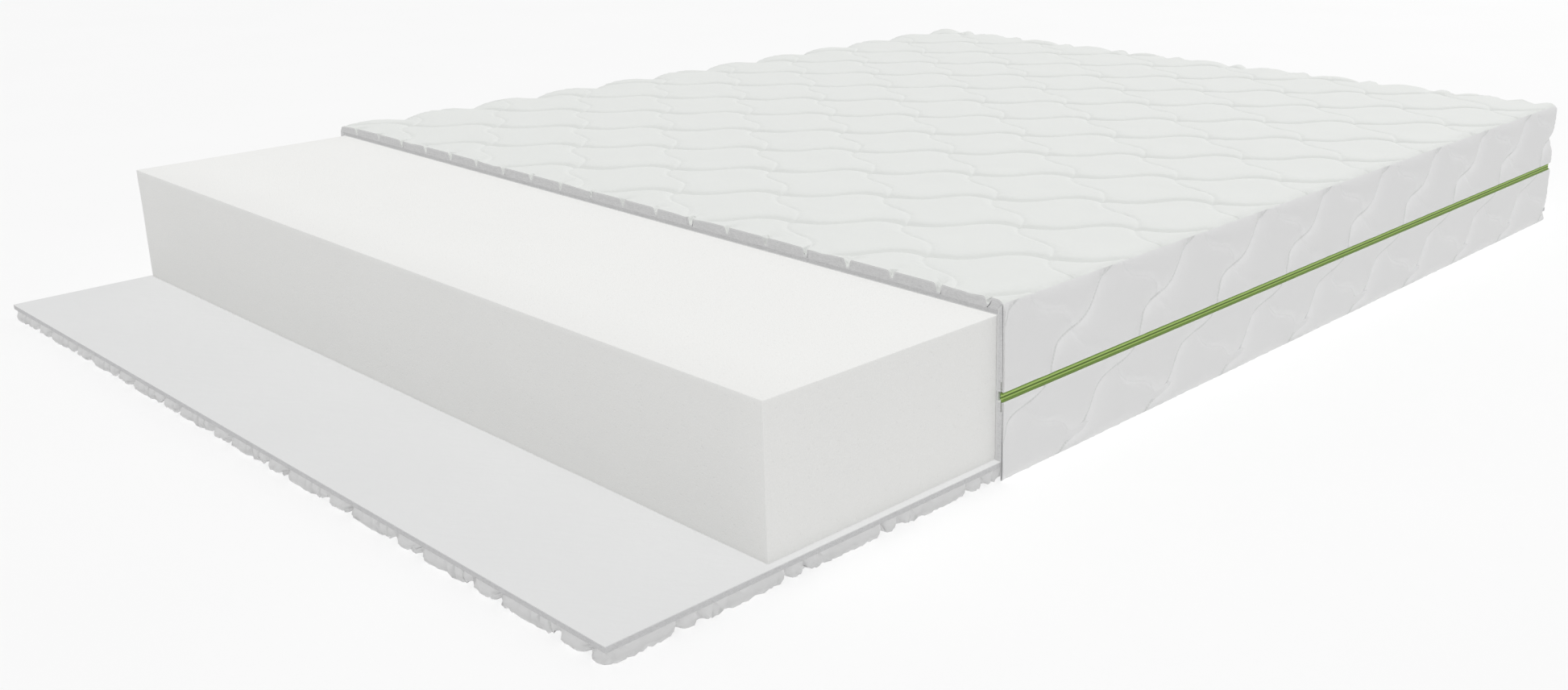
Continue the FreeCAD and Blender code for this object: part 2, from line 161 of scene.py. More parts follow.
class ZipLook(bpy.types.PropertyGroup):
    """Colours and sizes of the zip"""

    tape: colour("Tape", (0.19, 0.31, 0.055), "Woven tape")
    # rib, edge and groove are painted light on the one green tape colour: a highlight on the ribs, the hems'
    # shadow on the folded edges and shade in the groove.
    rib: colour("Rib", (0.42, 0.60, 0.16), "Raised ribs of the tape")
    edge: colour("Edge", (0.130, 0.185, 0.040), "Tape's folded outer edge")
    groove_shade: colour("Groove", (0.085, 0.150, 0.015), "Tape in the groove between the ribs")
    coil: colour("Coil", (0.17, 0.32, 0.05), "Coil elements")
    metal: colour("Metal", (0.62, 0.63, 0.62), "Slider and pull")
    pitch: length("Coil pitch", 0.0025, "Between neighbouring coil elements")
    stitch: length("Stitch", 0.0030, "Length of one stitch of the line that holds a tape")


class StageLook(bpy.types.PropertyGroup):
    """Floor, light and camera"""

    floor: colour("Floor", (0.93, 0.93, 0.93), "Floor")
    floor_size: length("Floor size", 60.0, "Side of the square floor")
    lens: bpy.props.FloatProperty(
        name="Lens", description="Focal length", default=35.78, min=1.0, unit="CAMERA"
    )


# ---------------------------------------------------------------- shader tools


class Value:
    """One socket of a node tree. Arithmetic on it adds Math nodes."""

    def __init__(self, finish, socket):
        self.finish = finish
        self.socket = socket

    def math(self, operation, *others):
        names = ("Value", "Value_001", "Value_002")
        terms = dict(zip(names, (self, *others)))
        return self.finish.node("ShaderNodeMath", {"operation": operation}, terms)["Value"]

    def __add__(self, other):
        return self.math("ADD", other)

    __radd__ = __add__

    def __sub__(self, other):
        return self.math("SUBTRACT", other)

    def __rsub__(self, other):
        return (self * -1.0) + other

    def __mul__(self, other):
        return self.math("MULTIPLY", other)

    __rmul__ = __mul__

    def __truediv__(self, other):
        return self.math("DIVIDE", other)

    def __abs__(self):
        return self.math("ABSOLUTE")

    def wave(self):
        """Sine."""
        return self.math("SINE")

    def least(self, other):
        return self.math("MINIMUM", other)

    def part(self):
        """What is left after the whole number."""
        return self.math("FRACT")


class Outputs:
    """A node's output sockets by name or identifier, as values."""

    def __init__(self, finish, node):
        self.finish = finish
        self.node = node

    def __getitem__(self, name):
        found = [s for s in self.node.outputs if name in (s.identifier, s.name)]
        return Value(self.finish, found[0])


class Finish:
    """A material and the nodes that make it."""

    def __init__(self, name):
        self.material = bpy.data.materials.new(name)
        self.material.use_nodes = True
        self.tree = self.material.node_tree
        self.tree.nodes.clear()

    def node(self, kind, settings, sockets):
        """Adds a node, sets its settings, then fills its sockets with values or links."""
        node = self.tree.nodes.new(kind)
        for name, value in settings.items():
            setattr(node, name, value)
        for name, value in sockets.items():
            self.feed(node, name, value)
        return Outputs(self, node)

    def feed(self, node, name, value):
        found = [s for s in node.inputs if s.identifier == name] or [s for s in node.inputs if s.name == name]
        socket = found[0]
        if isinstance(value, Value):
            self.tree.links.new(value.socket, socket)
        elif socket.type == "RGBA" and len(value) == 3:
            socket.default_value = (*value, 1.0)
        else:
            socket.default_value = value

    def place(self):
        """Object coordinates, in metres."""
        return self.node("ShaderNodeTexCoord", {}, {})["Object"]

    def attribute(self, name):
        return self.node("ShaderNodeAttribute", {"attribute_name": name}, {})

    def split(self, vector):
        """The three numbers of a vector."""
        parts = self.node("ShaderNodeSeparateXYZ", {}, {"Vector": vector})
        return parts["X"], parts["Y"], parts["Z"]

    def join(self, x, y, z):
        return self.node("ShaderNodeCombineXYZ", {}, {"X": x, "Y": y, "Z": z})["Vector"]

    def noise(self, vector, size, detail=2.0, rough=0.5):
        """Smooth noise from 0 to 1 with features of about that size in metres."""
        sockets = {"Vector": vector, "Scale": 1.0 / size, "Detail": detail, "Roughness": rough}
        return self.node("ShaderNodeTexNoise", {}, sockets)["Fac"]

    def cells(self, vector, size):
        """Distance within cells of about that size."""
        sockets = {"Vector": vector, "Scale": 1.0 / size}
        return self.node("ShaderNodeTexVoronoi", {}, sockets)["Distance"]

    def ramp(self, value, low, high):
        """0 below low, 1 above high, smooth between."""
        sockets = {"Value": value, "From Min": low, "From Max": high}
        return self.node("ShaderNodeMapRange", {"interpolation_type": "SMOOTHSTEP"}, sockets)["Result"]

    def mix(self, factor, first, second):
        """Two colours, mixed."""
        sockets = {"Factor_Float": factor, "A_Color": first, "B_Color": second}
        return self.node("ShaderNodeMix", {"data_type": "RGBA"}, sockets)["Result_Color"]

    def tone(self, shade, base):
        """A colour times a grey value."""
        grey = self.join(shade, shade, shade)
        sockets = {"Factor_Float": 1.0, "A_Color": base, "B_Color": grey}
        settings = {"data_type": "RGBA", "blend_type": "MULTIPLY"}
        return self.node("ShaderNodeMix", settings, sockets)["Result_Color"]

    def bump(self, height, depth, strength=1.0, before=None):
        """A bumped normal: height runs from 0 to 1 over that depth in metres."""
        sockets = {"Height": height, "Distance": depth, "Strength": strength}
        if before is not None:
            sockets["Normal"] = before
        return self.node("ShaderNodeBump", {}, sockets)["Normal"]

    def surface(self, **sockets):
        """Ends the material in a Principled surface. Socket names have _ for each space."""
        named = {name.replace("_", " "): value for name, value in sockets.items()}
        shader = self.node("ShaderNodeBsdfPrincipled", {}, named)["BSDF"]
        self.node("ShaderNodeOutputMaterial", {}, {"Surface": shader})
        return self.material


TURN = 2.0 * math.pi


def swell(turns):
    """A sine wave from 0 to 1."""
    return (turns * TURN).wave() * 0.5 + 0.5


def knit_height(u, v):
    """Rows of V-shaped loops of a fine jersey knit, from 0 to 1."""
    wale, course = 0.0013, 0.0009
    lean = abs((u / wale).part() - 0.5)
    return swell(v / course + lean * 1.4) * 0.65 + swell(u / wale) * 0.35


def knit_fabric(name, base, thread, tuft):
    """Soft white jersey knit with quilting thread in the seams; the thread is darker than the knit, which
    paints shade along the seam grooves.

    Reads the cloth's flat place, and the seam attribute: distance to the nearest through seam,
    to the nearest crease, and the place along the seam."""
    finish = Finish(name)
    flat = finish.attribute("cloth")["Vector"]
    u, v, _ = finish.split(flat)
    seam, crease, along = finish.split(finish.attribute("seam")["Vector"])
    cloudy = finish.noise(flat, 0.09, 3.0)
    loops = knit_height(u, v)
    fuzz = finish.noise(flat, 0.0022, 3.0, 0.65)
    stitch_length = 0.0042
    stitch = swell(along / stitch_length)
    # Painted shade: the seam line mixes in the thread colour, which is darker than the knit, so each seam
    # groove gets a dark line over its stitches.
    in_seam = 1.0 - finish.ramp(seam, 0.0006, 0.0020)
    puckers = finish.noise(flat, 0.011, 1.0)
    near_seam = 1.0 - finish.ramp(seam.least(crease), 0.002, 0.016)
    tone = finish.tone(0.985 + cloudy * 0.03 - fuzz * 0.03 + loops * 0.015, base)
    shaded = finish.mix(in_seam * (0.55 + stitch * 0.3), tone, thread)
    weave = finish.bump(loops * 0.7 + fuzz * 0.3, 0.00022, 0.55)
    soft = finish.bump(puckers * near_seam, tuft, 0.5, before=weave)
    normal = finish.bump(stitch * in_seam, 0.0006, 0.6, before=soft)
    rough = 0.78 + fuzz * 0.12
    return finish.surface(
        Base_Color=shaded, Roughness=rough, Normal=normal, Sheen_Weight=0.18, Sheen_Roughness=0.5,
        Specular_IOR_Level=0.25,
    )


def cut_wadding(name, base, streak):
    """The fibrous cut edge of wadding: fine layered fibres along the cut."""
    finish = Finish(name)
    x, y, z = finish.split(finish.place())
    stretched = finish.join(x * 0.35, y * 0.35, z)
    fibres = finish.noise(stretched, streak, 4.0, 0.7)
    clumps = finish.noise(finish.place(), 0.006, 2.0)
    specks = finish.cells(finish.join(x, y, z * 1.6), 0.0022)
    shade = 0.80 + fibres * 0.34 + clumps * 0.14 - specks * 0.08
    normal = finish.bump(fibres * 0.7 + clumps * 0.3, 0.0012, 0.8)
    return finish.surface(
        Base_Color=finish.tone(shade, base), Roughness=0.95, Normal=normal, Specular_IOR_Level=0.1
    )


def lining_fabric(name, base):
    """Thin smooth non-woven lining with faint pressed dots and slanting wrinkles."""
    finish = Finish(name)
    place = finish.place()
    x, y, z = finish.split(place)
    slanted = finish.join(x * 0.28 + y * 0.22, y - x * 0.6, z)
    wrinkles = finish.noise(slanted, 0.016, 3.0, 0.6)
    cloudy = finish.noise(place, 0.16, 2.0)
    fibres = finish.noise(finish.join(x * 3.0, y, z), 0.0016, 3.0, 0.7)
    dots = finish.cells(place, 0.0024)
    tone = finish.tone(0.97 + cloudy * 0.03 + fibres * 0.03, base)
    waved = finish.bump(wrinkles, 0.0016, 0.22)
    normal = finish.bump(fibres * 0.6 + dots * 0.4, 0.0002, 0.35, before=waved)
    return finish.surface(
        Base_Color=tone, Roughness=0.72 + fibres * 0.1, Normal=normal, Sheen_Weight=0.08,
        Specular_IOR_Level=0.3,
    )


def memory_foam(name, base, cell):
    """Slow foam: fine open cells, a few larger pores and a faint cloudy tone."""
    finish = Finish(name)
    place = finish.place()
    cells = finish.cells(place, cell)
    pores = finish.cells(place, cell * 4.0)
    pits = 1.0 - finish.ramp(pores, 0.05, 0.22)
    grain = finish.noise(place, cell * 1.3, 4.0, 0.75)
    cloudy = finish.noise(place, 0.12, 3.0)
    # The pits are drawn darker: painted shade inside the larger pores.
    shade = 0.975 + cells * 0.03 + cloudy * 0.02 - pits * 0.03 - grain * 0.02
    fine = finish.bump(grain * 0.6 + cells * 0.4, 0.0005, 0.5)
    normal = finish.bump(1.0 - pits, 0.0004, 0.4, before=fine)
    return finish.surface(
        Base_Color=finish.tone(shade, base), Roughness=0.9, Normal=normal, Specular_IOR_Level=0.15,
        Subsurface_Weight=0.08, Subsurface_Radius=(0.01, 0.01, 0.01), Subsurface_Scale=0.3,
    )


def zip_tape_weave(name, tape, rib, edge, groove_shade):
    """Green woven tape: herringbone weave, with a painted highlight on the ribs, painted shade in the groove
    between them and a painted shadow of the hem along the folded edge.
    """
    finish = Finish(name)
    x, y, z = finish.split(finish.place())
    around = x + y
    raised = 0.0006
    height = z - ZIP_HEIGHT + raised
    twill, stripe = 0.0011, 0.0016
    weave = swell(around / twill + (abs(height) / stripe).math("PINGPONG", 1.0) * 1.2)
    # Painted light on the one green tape: lighter ribs are a painted highlight, the darker groove is painted
    # shade, and the darker outer edges are the hems' painted shadow.
    rib_highlight_mask = 1.0 - finish.ramp(abs(height), 0.0026, 0.0034)
    groove_shade_mask = 1.0 - finish.ramp(abs(height), 0.0006, 0.0011)
    hem_shadow_mask = finish.ramp(abs(height), 0.0042, 0.0050)
    worn = finish.noise(finish.place(), 0.02, 3.0)
    rib_highlight_and_groove_shade = finish.mix(groove_shade_mask, finish.mix(rib_highlight_mask, tape, rib), groove_shade)
    tape_with_painted_light = finish.mix(hem_shadow_mask, rib_highlight_and_groove_shade, edge)
    shaded = finish.tone(0.90 + weave * 0.08 + worn * 0.10, tape_with_painted_light)
    normal = finish.bump(weave, 0.00025, 0.7)
    return finish.surface(
        Base_Color=shaded, Roughness=0.7, Normal=normal, Sheen_Weight=0.1, Specular_IOR_Level=0.3
    )


def coil_plastic(name, base):
    """Slightly glossy nylon of the coil and stops."""
    finish = Finish(name)
    mottled = finish.noise(finish.place(), 0.002, 3.0)
    shade = 0.88 + mottled * 0.22
    normal = finish.bump(mottled, 0.0001, 0.4)
    return finish.surface(
        Base_Color=finish.tone(shade, base), Roughness=0.32 + mottled * 0.16, Normal=normal
    )


def twisted_thread(name, base):
    """Two-ply sewing thread."""
    finish = Finish(name)
    x, y, z = finish.split(finish.place())
    ply_length = 0.0007
    ply = swell((x + y + z) / ply_length)
    fuzz = finish.noise(finish.place(), 0.0005, 2.0)
    normal = finish.bump(ply, 0.00012, 0.6)
    return finish.surface(
        Base_Color=finish.tone(0.84 + ply * 0.1 + fuzz * 0.1, base), Roughness=0.6, Normal=normal
    )


def cast_metal(name, base):
    """Satin nickel plating with fine rubbed scratches."""
    finish = Finish(name)
    x, y, z = finish.split(finish.place())
    rubbed = finish.noise(finish.join(x * 0.15, y, z), 0.0006, 3.0, 0.7)
    spots = finish.noise(finish.place(), 0.004, 3.0)
    normal = finish.bump(rubbed, 0.00003, 0.5)
    return finish.surface(
        Base_Color=finish.tone(0.9 + spots * 0.14, base), Roughness=0.22 + rubbed * 0.2, Metallic=1.0,
        Normal=normal,
    )


# ---------------------------------------------------------------- mesh tools


def all_parts(mesh):
    return mesh.verts[:] + mesh.edges[:] + mesh.faces[:]


def of_kind(parts, kind):
    return [part for part in parts if isinstance(part, kind)]


def bevel(mesh, edges, width, segments):
    bmesh.ops.bevel(
        mesh, geom=edges, offset=width, offset_type="OFFSET", segments=segments, profile=0.5,
        affect="EDGES", material=-1,
    )


def paint(faces, index):
    """Gives faces one of the piece's finishes."""
    for face in faces:
        face.material_index = index


def places(mesh):
    """Every vertex's place, as rows of an array."""
    return np.array([v.co for v in mesh.verts], float).reshape(-1, 3)


def move_to(mesh, rows):
    for vertex, row in zip(mesh.verts, rows):
        vertex.co = row


def put_in_scene(mesh, name, materials, smooth=True):
    """Makes an object of a bmesh and frees it."""
    data = bpy.data.meshes.new(name)
    mesh.to_mesh(data)
    mesh.free()
    for material in materials:
        data.materials.append(material)
    data.polygons.foreach_set("use_smooth", [smooth] * len(data.polygons))
    piece = bpy.data.objects.new(name, data)
    bpy.context.scene.collection.objects.link(piece)
    return piece


def ripples(points, size, seed, waves=9):
    """Smooth unevenness, about -1 to 1, with bumps of about that size."""
    maker = np.random.default_rng(seed)
    total = np.zeros(len(points))
    for _ in range(waves):
        turn, shift = maker.uniform(0, TURN, 2)
        stride = size * maker.uniform(0.75, 1.5)
        along = points[:, 0] * math.cos(turn) + points[:, 1] * math.sin(turn)
        total += np.sin(along / stride * TURN + shift)
    return total / math.sqrt(waves)


def clip(mesh, point, outward, parts=None):
    """Cuts off what lies beyond a plane."""
    bmesh.ops.bisect_plane(
        mesh, geom=parts or all_parts(mesh), dist=1e-7, plane_co=point, plane_no=outward, clear_outer=True
    )


def trim(mesh, left, right, low, high):
    """Trims a flat cloth to a rectangle."""
    clip(mesh, (right, 0, 0), (1, 0, 0))
    clip(mesh, (left, 0, 0), (-1, 0, 0))
    clip(mesh, (0, high, 0), (0, 1, 0))
    clip(mesh, (0, low, 0), (0, -1, 0))


def rounded_clip(mesh, reach, low, high, radius, corners, steps=6):
    """Trims a flat cloth to a rectangle x = -reach to reach, y = low to high, with rounded corners.

    corners lists the corners to round, as signs along X and Y."""
    trim(mesh, -reach, reach, low, high)
    for sx, sy in corners:
        centre = Vector((sx * (reach - radius), (high if sy > 0 else low) - sy * radius, 0))
        for step in range(steps):
            angle = (step + 0.5) / steps * math.pi / 2
            outward = Vector((sx * math.cos(angle), sy * math.sin(angle), 0))
            near = [f for f in mesh.faces if (f.calc_center_median() - centre).length < radius * 3]
            parts = list(dict.fromkeys(part for f in near for part in (*f.verts, *f.edges, f)))
            clip(mesh, centre + outward * radius, outward, parts)


class Quilting:
    """S-shaped seams stitched on flat cloth: through seams rise to the right, creases fall.

    The pattern counts cells along the through seams (p) and across them (q)."""

    FINER = 0.78

    def __init__(self, settings, node):
        self.settings = settings
        self.node = np.array(node)
        a, b = settings.pitch_along, settings.pitch_across
        self.rise = np.array((a / 2, b / 2))
        self.fall = np.array((a / 2, -b / 2))
        self.rise_side = np.array((b, -a)) / math.hypot(a, b)
        self.fall_side = np.array((-b, -a)) / math.hypot(a, b)

    def cells_over(self, low, high):
        """The cells that touch a rectangle."""
        s = self.settings
        slack = 2 * s.swing
        a, b = s.pitch_along / 2, s.pitch_across / 2
        left, right = (low[0] - slack - self.node[0]) / a, (high[0] + slack - self.node[0]) / a
        near, far = (low[1] - slack - self.node[1]) / b, (high[1] + slack - self.node[1]) / b
        counts = range(math.floor((left + near) / 2) - 1, math.ceil((right + far) / 2) + 1)
        others = range(math.floor((left - far) / 2) - 1, math.ceil((right - near) / 2) + 1)
        for i in counts:
            for j in others:
                if i + j + 2 > left and i + j < right and i - j + 1 > near and i - j - 1 < far:
                    yield i, j

    def cloth(self, low, high, cuts):
        """Flat cloth over a rectangle whose mesh follows the seams and is finer beside them."""
        mesh = bmesh.new()
        for i, j in self.cells_over(low, high):
            at = Matrix.Translation((i + 0.5, j + 0.5, 0))
            bmesh.ops.create_grid(mesh, x_segments=cuts, y_segments=cuts, size=0.5, matrix=at)
        bmesh.ops.remove_doubles(mesh, verts=mesh.verts[:], dist=1e-4)
        pattern = places(mesh)[:, :2]
        graded = pattern - self.FINER * np.sin(TURN * pattern) / TURN
        flat = self.flatten(graded)
        strong, weak, along = self.seams(graded)
        move_to(mesh, np.column_stack((flat, np.zeros(len(flat)))))
        seam = mesh.verts.layers.float_vector.new("seam")
        for vertex, row in zip(mesh.verts, zip(strong, weak, along)):
            vertex[seam] = row
        return mesh

    def flatten(self, pattern):
        """Places on the flat cloth of pattern coordinates."""
        p, q = pattern[:, :1], pattern[:, 1:]
        swing = self.settings.swing
        straight = self.node + p * self.rise + q * self.fall
        return (
            straight
            + swing * np.sin(TURN * p) * self.rise_side
            + swing * np.sin(TURN * q) * self.fall_side
        )

    def seams(self, pattern):
        """Distances to the nearest through seam and crease, and the place along the through seam."""
        p, q = pattern[:, :1], pattern[:, 1:]
        swing = self.settings.swing
        to_p = self.rise + swing * TURN * np.cos(TURN * p) * self.rise_side
        to_q = self.fall + swing * TURN * np.cos(TURN * q) * self.fall_side
        area = np.abs(to_p[:, 0] * to_q[:, 1] - to_p[:, 1] * to_q[:, 0])
        strong = np.abs(q - np.round(q))[:, 0] * area / np.linalg.norm(to_p, axis=1)
        weak = np.abs(p - np.round(p))[:, 0] * area / np.linalg.norm(to_q, axis=1)
        return strong, weak, p[:, 0] * np.linalg.norm(self.rise)

    def puff(self, mesh):
        """How far each vertex lies below the puffs' crest, and the puckers beside the seams."""
        s = self.settings
        seam = mesh.verts.layers.float_vector["seam"]
        rows = np.array([v[seam] for v in mesh.verts], float)
        strong, weak = np.abs(rows[:, 0]), np.abs(rows[:, 1])
        flat = places(mesh)
        deep = s.seam_depth * np.exp(-soft(strong) / s.seam_width)
        near_seam = 0.024
        by_node = 0.25 + 1.45 * np.exp(-strong / near_seam)
        light = s.crease_depth * by_node * np.exp(-soft(weak) / s.crease_width)
        sunk = deep + light * (1 - deep / max(s.seam_depth, TINY))
        gather = np.exp(-np.minimum(strong, weak * 2.2) / 0.011) * (1 - np.exp(-strong / 0.002))
        uneven = 0.00045 * gather * ripples(flat, 0.021, 3) + 0.00035 * ripples(flat, 0.085, 5)
        return sunk + uneven


def soft(distance):
    """A distance that is rounded off near 0, so that a seam's bottom isn't a sharp line."""
    turn = 0.0006
    return np.sqrt(distance**2 + turn**2) - turn


def wrapped(flat, reach, low, high, corner, radius, most, crest, up):
    """Bends flat cloth round the edges of a slab.

    The slab's flat part is x = -reach to reach, y = low to high with round corners. The cloth
    turns with that radius up to the angle most, then runs straight. up is 1 for cloth on top
    and -1 for cloth underneath. Returns places, normals and how far each point is past the flat
    part."""
    inner = np.column_stack((
        np.clip(flat[:, 0], corner - reach, reach - corner),
        np.clip(flat[:, 1], low + corner, high - corner),
    ))
    away = flat[:, :2] - inner
    far = np.linalg.norm(away, axis=1)
    way = away / np.maximum(far, TINY)[:, None]
    beyond = np.maximum(far - corner, 0)
    angle = np.minimum(beyond / radius, most)
    straight = beyond - angle * radius
    out = np.where(far > corner, corner + radius * np.sin(angle) + straight * math.cos(most), far)
    drop = radius * (1 - np.cos(angle)) + straight * math.sin(most)
    place = np.column_stack((inner + way * out[:, None], crest - up * drop))
    normal = np.column_stack((way * np.sin(angle)[:, None], up * np.cos(angle)))
    return place, normal, beyond


def faded(distance, reach):
    """0 at an edge, 1 away from it."""
    return 1 - np.exp(-((np.maximum(distance, 0) / reach) ** 2))


def gathers(place, start, pitch, depth, width, tight=1.0):
    """Narrow gathers every pitch along an edge, between puffs with rounded ends."""
    off = (place - start) / pitch
    near = np.clip(1 - np.abs(off - np.round(off)) * pitch / width, 0, 1)
    return depth * (1 - np.sqrt(1 - np.minimum(near * tight, 1)**2))


def dome_dip(off):
    """1 in the dip between two domes, 0 on a dome's crest, for a place from 0 to 1 along it."""
    return np.abs(2 * off - 1) ** 2.5


def edge_scallops(rows, depth):
    """Dips between the domes of the cover's left and far upper edges, for places seen from above."""
    start, pitch = LEFT_SCALLOP
    off = (rows[:, 1] - start) / pitch
    side = depth * dome_dip(off - np.floor(off))
    start, pitch, short = FAR_SCALLOP
    off = (rows[:, 0] - start) / pitch
    off = (off - np.floor(off)) * pitch
    end_depth = 0.8
    end = depth * dome_dip(np.where(off < short, off / short, (off - short) / (pitch - short))) * end_depth
    from_side, from_end = rows[:, 0] + SKIN_HIGH.x, SKIN_HIGH.y - rows[:, 1]
    corner = np.clip((from_side - from_end) / 0.02 + 0.5, 0, 1)
    on_right = np.clip((rows[:, 0] - FACE_X + 0.02) / 0.02, 0, 1) * np.clip(from_end / 0.01, 0, 1)
    return (side * (1 - corner) + end * corner) * (1 - on_right)


class Wall:
    """The border's path: right side, far end and left side, seen from above."""

    def __init__(self, corner_radius):
        self.corner = corner_radius
        self.inner = corner_radius - WALL
        self.side = FACE_Y - self.inner - CUT
        self.end = 2 * (FACE_X - self.inner)
        self.turn = corner_radius * math.pi / 2
        self.length = 2 * self.side + self.end + 2 * self.turn
        self.knots = np.cumsum((0, self.side, self.turn, self.end, self.turn, self.side))

    def place(self, along, out, height):
        """Places in the frame of points along the wall, out from the foam's face, and up."""
        x, y = FACE_X - self.inner, FACE_Y - self.inner
        cx = np.interp(along, self.knots, (x, x, x, -x, -x, -x))
        cy = np.interp(along, self.knots, (CUT, y, y, y, y, CUT))
        angle = np.interp(along, self.knots, (0, 0, math.pi / 2, math.pi / 2, math.pi, math.pi))
        reach = self.inner + out
        return np.column_stack((cx + reach * np.cos(angle), cy + reach * np.sin(angle), height))

    def stations(self):
        """Places along the wall where a swept strip needs a section."""
        stride, steps = 0.25, 8
        bends = [self.knots[k] + self.turn * step / steps for k in (1, 3) for step in range(steps + 1)]
        straight = np.linspace(0, self.length, round(self.length / stride))
        return np.unique(np.round(np.concatenate((straight, bends)), 6))


def sweep(wall, outline):
    """A closed strip along the wall whose section has that outline of (out, height) points."""
    mesh = bmesh.new()
    section = mesh.verts.layers.float_vector.new("section")
    ring = []
    for out, height in outline:
        vertex = mesh.verts.new()
        vertex[section] = (out, height, 0)
        ring.append(vertex)
    loop = [mesh.edges.new((ring[k - 1], ring[k])) for k in range(len(ring))]
    first = loop
    for number, station in enumerate(wall.stations()):
        if number:
            made = bmesh.ops.extrude_edge_only(mesh, edges=loop)["geom"]
            ring, loop = of_kind(made, bmesh.types.BMVert), of_kind(made, bmesh.types.BMEdge)
        rows = np.array([v[section] for v in ring])
        for vertex, row in zip(ring, wall.place(np.full(len(ring), station), rows[:, 0], rows[:, 1])):
            vertex.co = row
    bmesh.ops.edgeloop_fill(mesh, edges=first)
    bmesh.ops.edgeloop_fill(mesh, edges=loop)
    bmesh.ops.recalc_face_normals(mesh, faces=mesh.faces[:])
    return mesh


def repeat(mesh, step, limit):
    """Copies a mesh along X, one every step, as far as limit."""
    reach = step
    while reach < limit:
        copy = bmesh.ops.duplicate(mesh, geom=all_parts(mesh))["geom"]
        bmesh.ops.translate(mesh, verts=of_kind(copy, bmesh.types.BMVert), vec=(reach, 0, 0))
        reach *= 2
    last = math.floor(limit / step) * step
    late = [f for f in mesh.faces if f.calc_center_median().x > last]
    bmesh.ops.delete(mesh, geom=late, context="FACES")


def bend_along(mesh, wall):
    """Moves a mesh made along X, out along Y and up along Z, onto the wall's path."""
    rows = places(mesh)
    move_to(mesh, wall.place(rows[:, 0], rows[:, 1], rows[:, 2]))
    bmesh.ops.recalc_face_normals(mesh, faces=mesh.faces[:])


def slab(low, high, cuts, edge, uneven, seed):
    """A block between two corners: cut faces slightly uneven, edges eased."""
    size = high - low
    mesh = bmesh.new()
    at = Matrix.Translation((low + high) / 2) @ Matrix.Diagonal((*size, 1))
    bmesh.ops.create_cube(mesh, size=1, matrix=at)
    bmesh.ops.subdivide_edges(mesh, edges=mesh.edges[:], cuts=cuts, use_grid_fill=True)
    mesh.normal_update()
    sides = [(v, v.co.copy(), v.normal.copy()) for v in mesh.verts]
    rows = np.array([co for _, co, _ in sides], float)
    leans = uneven * ripples(rows[:, [0, 1]] + rows[:, [2, 2]], 0.17, seed)
    for (vertex, co, normal), lean in zip(sides, leans):
        vertex.co = co - normal * abs(lean)
    sharp = [e for e in mesh.edges if e.calc_face_angle() > math.radians(60)]
    bevel(mesh, sharp, edge, 3)
    return mesh


def flat_sheet(low, high, columns, rows, thickness):
    """A thin flat sheet of cloth between two corners, its top at high."""
    mesh = bmesh.new()
    size = high - low
    at = Matrix.Translation(((low.x + high.x) / 2, (low.y + high.y) / 2, high.z))
    scale = Matrix.Diagonal((size.x, size.y, 1, 1))
    bmesh.ops.create_grid(mesh, x_segments=columns, y_segments=rows, size=0.5, matrix=at @ scale)
    bmesh.ops.solidify(mesh, geom=mesh.faces[:], thickness=thickness)
    return mesh


def keep_flat(mesh):
    """Keeps each vertex's place on the flat cloth, for its weave."""
    cloth = mesh.verts.layers.float_vector.new("cloth")
    for vertex in mesh.verts:
        vertex[cloth] = vertex.co
    return places(mesh)


def extrude_row(mesh, row, target, index=None):
    """Extrudes a row of edges, in one finish; target gives the new places from the flat places."""
    cloth = mesh.verts.layers.float_vector["cloth"]
    before = set(mesh.faces)
    made = bmesh.ops.extrude_edge_only(mesh, edges=row)["geom"]
    if index is not None:
        paint(set(mesh.faces) - before, index)
    verts = of_kind(made, bmesh.types.BMVert)
    flat = np.array([v[cloth] for v in verts], float)
    for vertex, place in zip(verts, target(flat)):
        vertex.co = place
    return of_kind(made, bmesh.types.BMEdge), verts


def open_edges(mesh):
    return [e for e in mesh.edges if e.is_boundary]


def cut_face(mesh, face, rim, index, rim_index):
    """Gives a cut face a rim of one material and another material inside it."""
    made = bmesh.ops.inset_individual(mesh, faces=[face], thickness=rim, depth=0.0, use_even_offset=True)
    paint(made["faces"], rim_index)
    face.material_index = index


# ---------------------------------------------------------------- finishes shared by pieces


def finish(name):
    """One of the mattress's materials, made the first time that it is needed."""
    scene = bpy.context.scene
    cover, block, zipped = scene.mattress_cover, scene.mattress_foam, scene.mattress_zip
    make, *values = {
        "knit_top": (knit_fabric, cover.knit, cover.thread, 0.0022),
        "knit_border": (knit_fabric, cover.border_knit, cover.thread, 0.0018),
        "knit_under": (knit_fabric, cover.shaded_under_knit, cover.thread, 0.0026),
        "wadding_cut": (cut_wadding, cover.wadding, 0.0016),
        "pad_cut": (cut_wadding, cover.pad, 0.0010),
        "inner_lining": (lining_fabric, cover.lining),
        "slow_foam": (memory_foam, block.foam, block.cell),
        "zip_weave": (zip_tape_weave, zipped.tape, zipped.rib, zipped.edge, zipped.groove_shade),
        "coil_nylon": (coil_plastic, zipped.coil),
        "sewing_thread": (twisted_thread, cover.thread),
        "satin_nickel": (cast_metal, zipped.metal),
    }[name]
    return bpy.data.materials.get(name) or make(name, *values)


def dress(node, name):
    """Gives a CAD node its finish."""
    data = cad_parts[node].data
    data.materials.clear()
    data.materials.append(finish(name))


def add_piece(mesh, name, finishes, body, nodes, sharp=None, smooth=True):
    """Puts a piece in the scene, riding on its body in place of its CAD nodes."""
    piece = put_in_scene(mesh, name, [finish(kind) for kind in finishes], smooth)
    if sharp is not None:
        piece.data.set_sharp_from_angle(angle=math.radians(sharp))
    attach(piece, body)
    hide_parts(*nodes)
    return piece


def add_pad(low, high, edge, seed, name, body, node):
    """A flat pad between two corners."""
    piece = add_piece(slab(low, high, 6, edge, 0.0002, seed), name, ["pad_cut"], body, [node], 35)


# ---------------------------------------------------------------- pieces

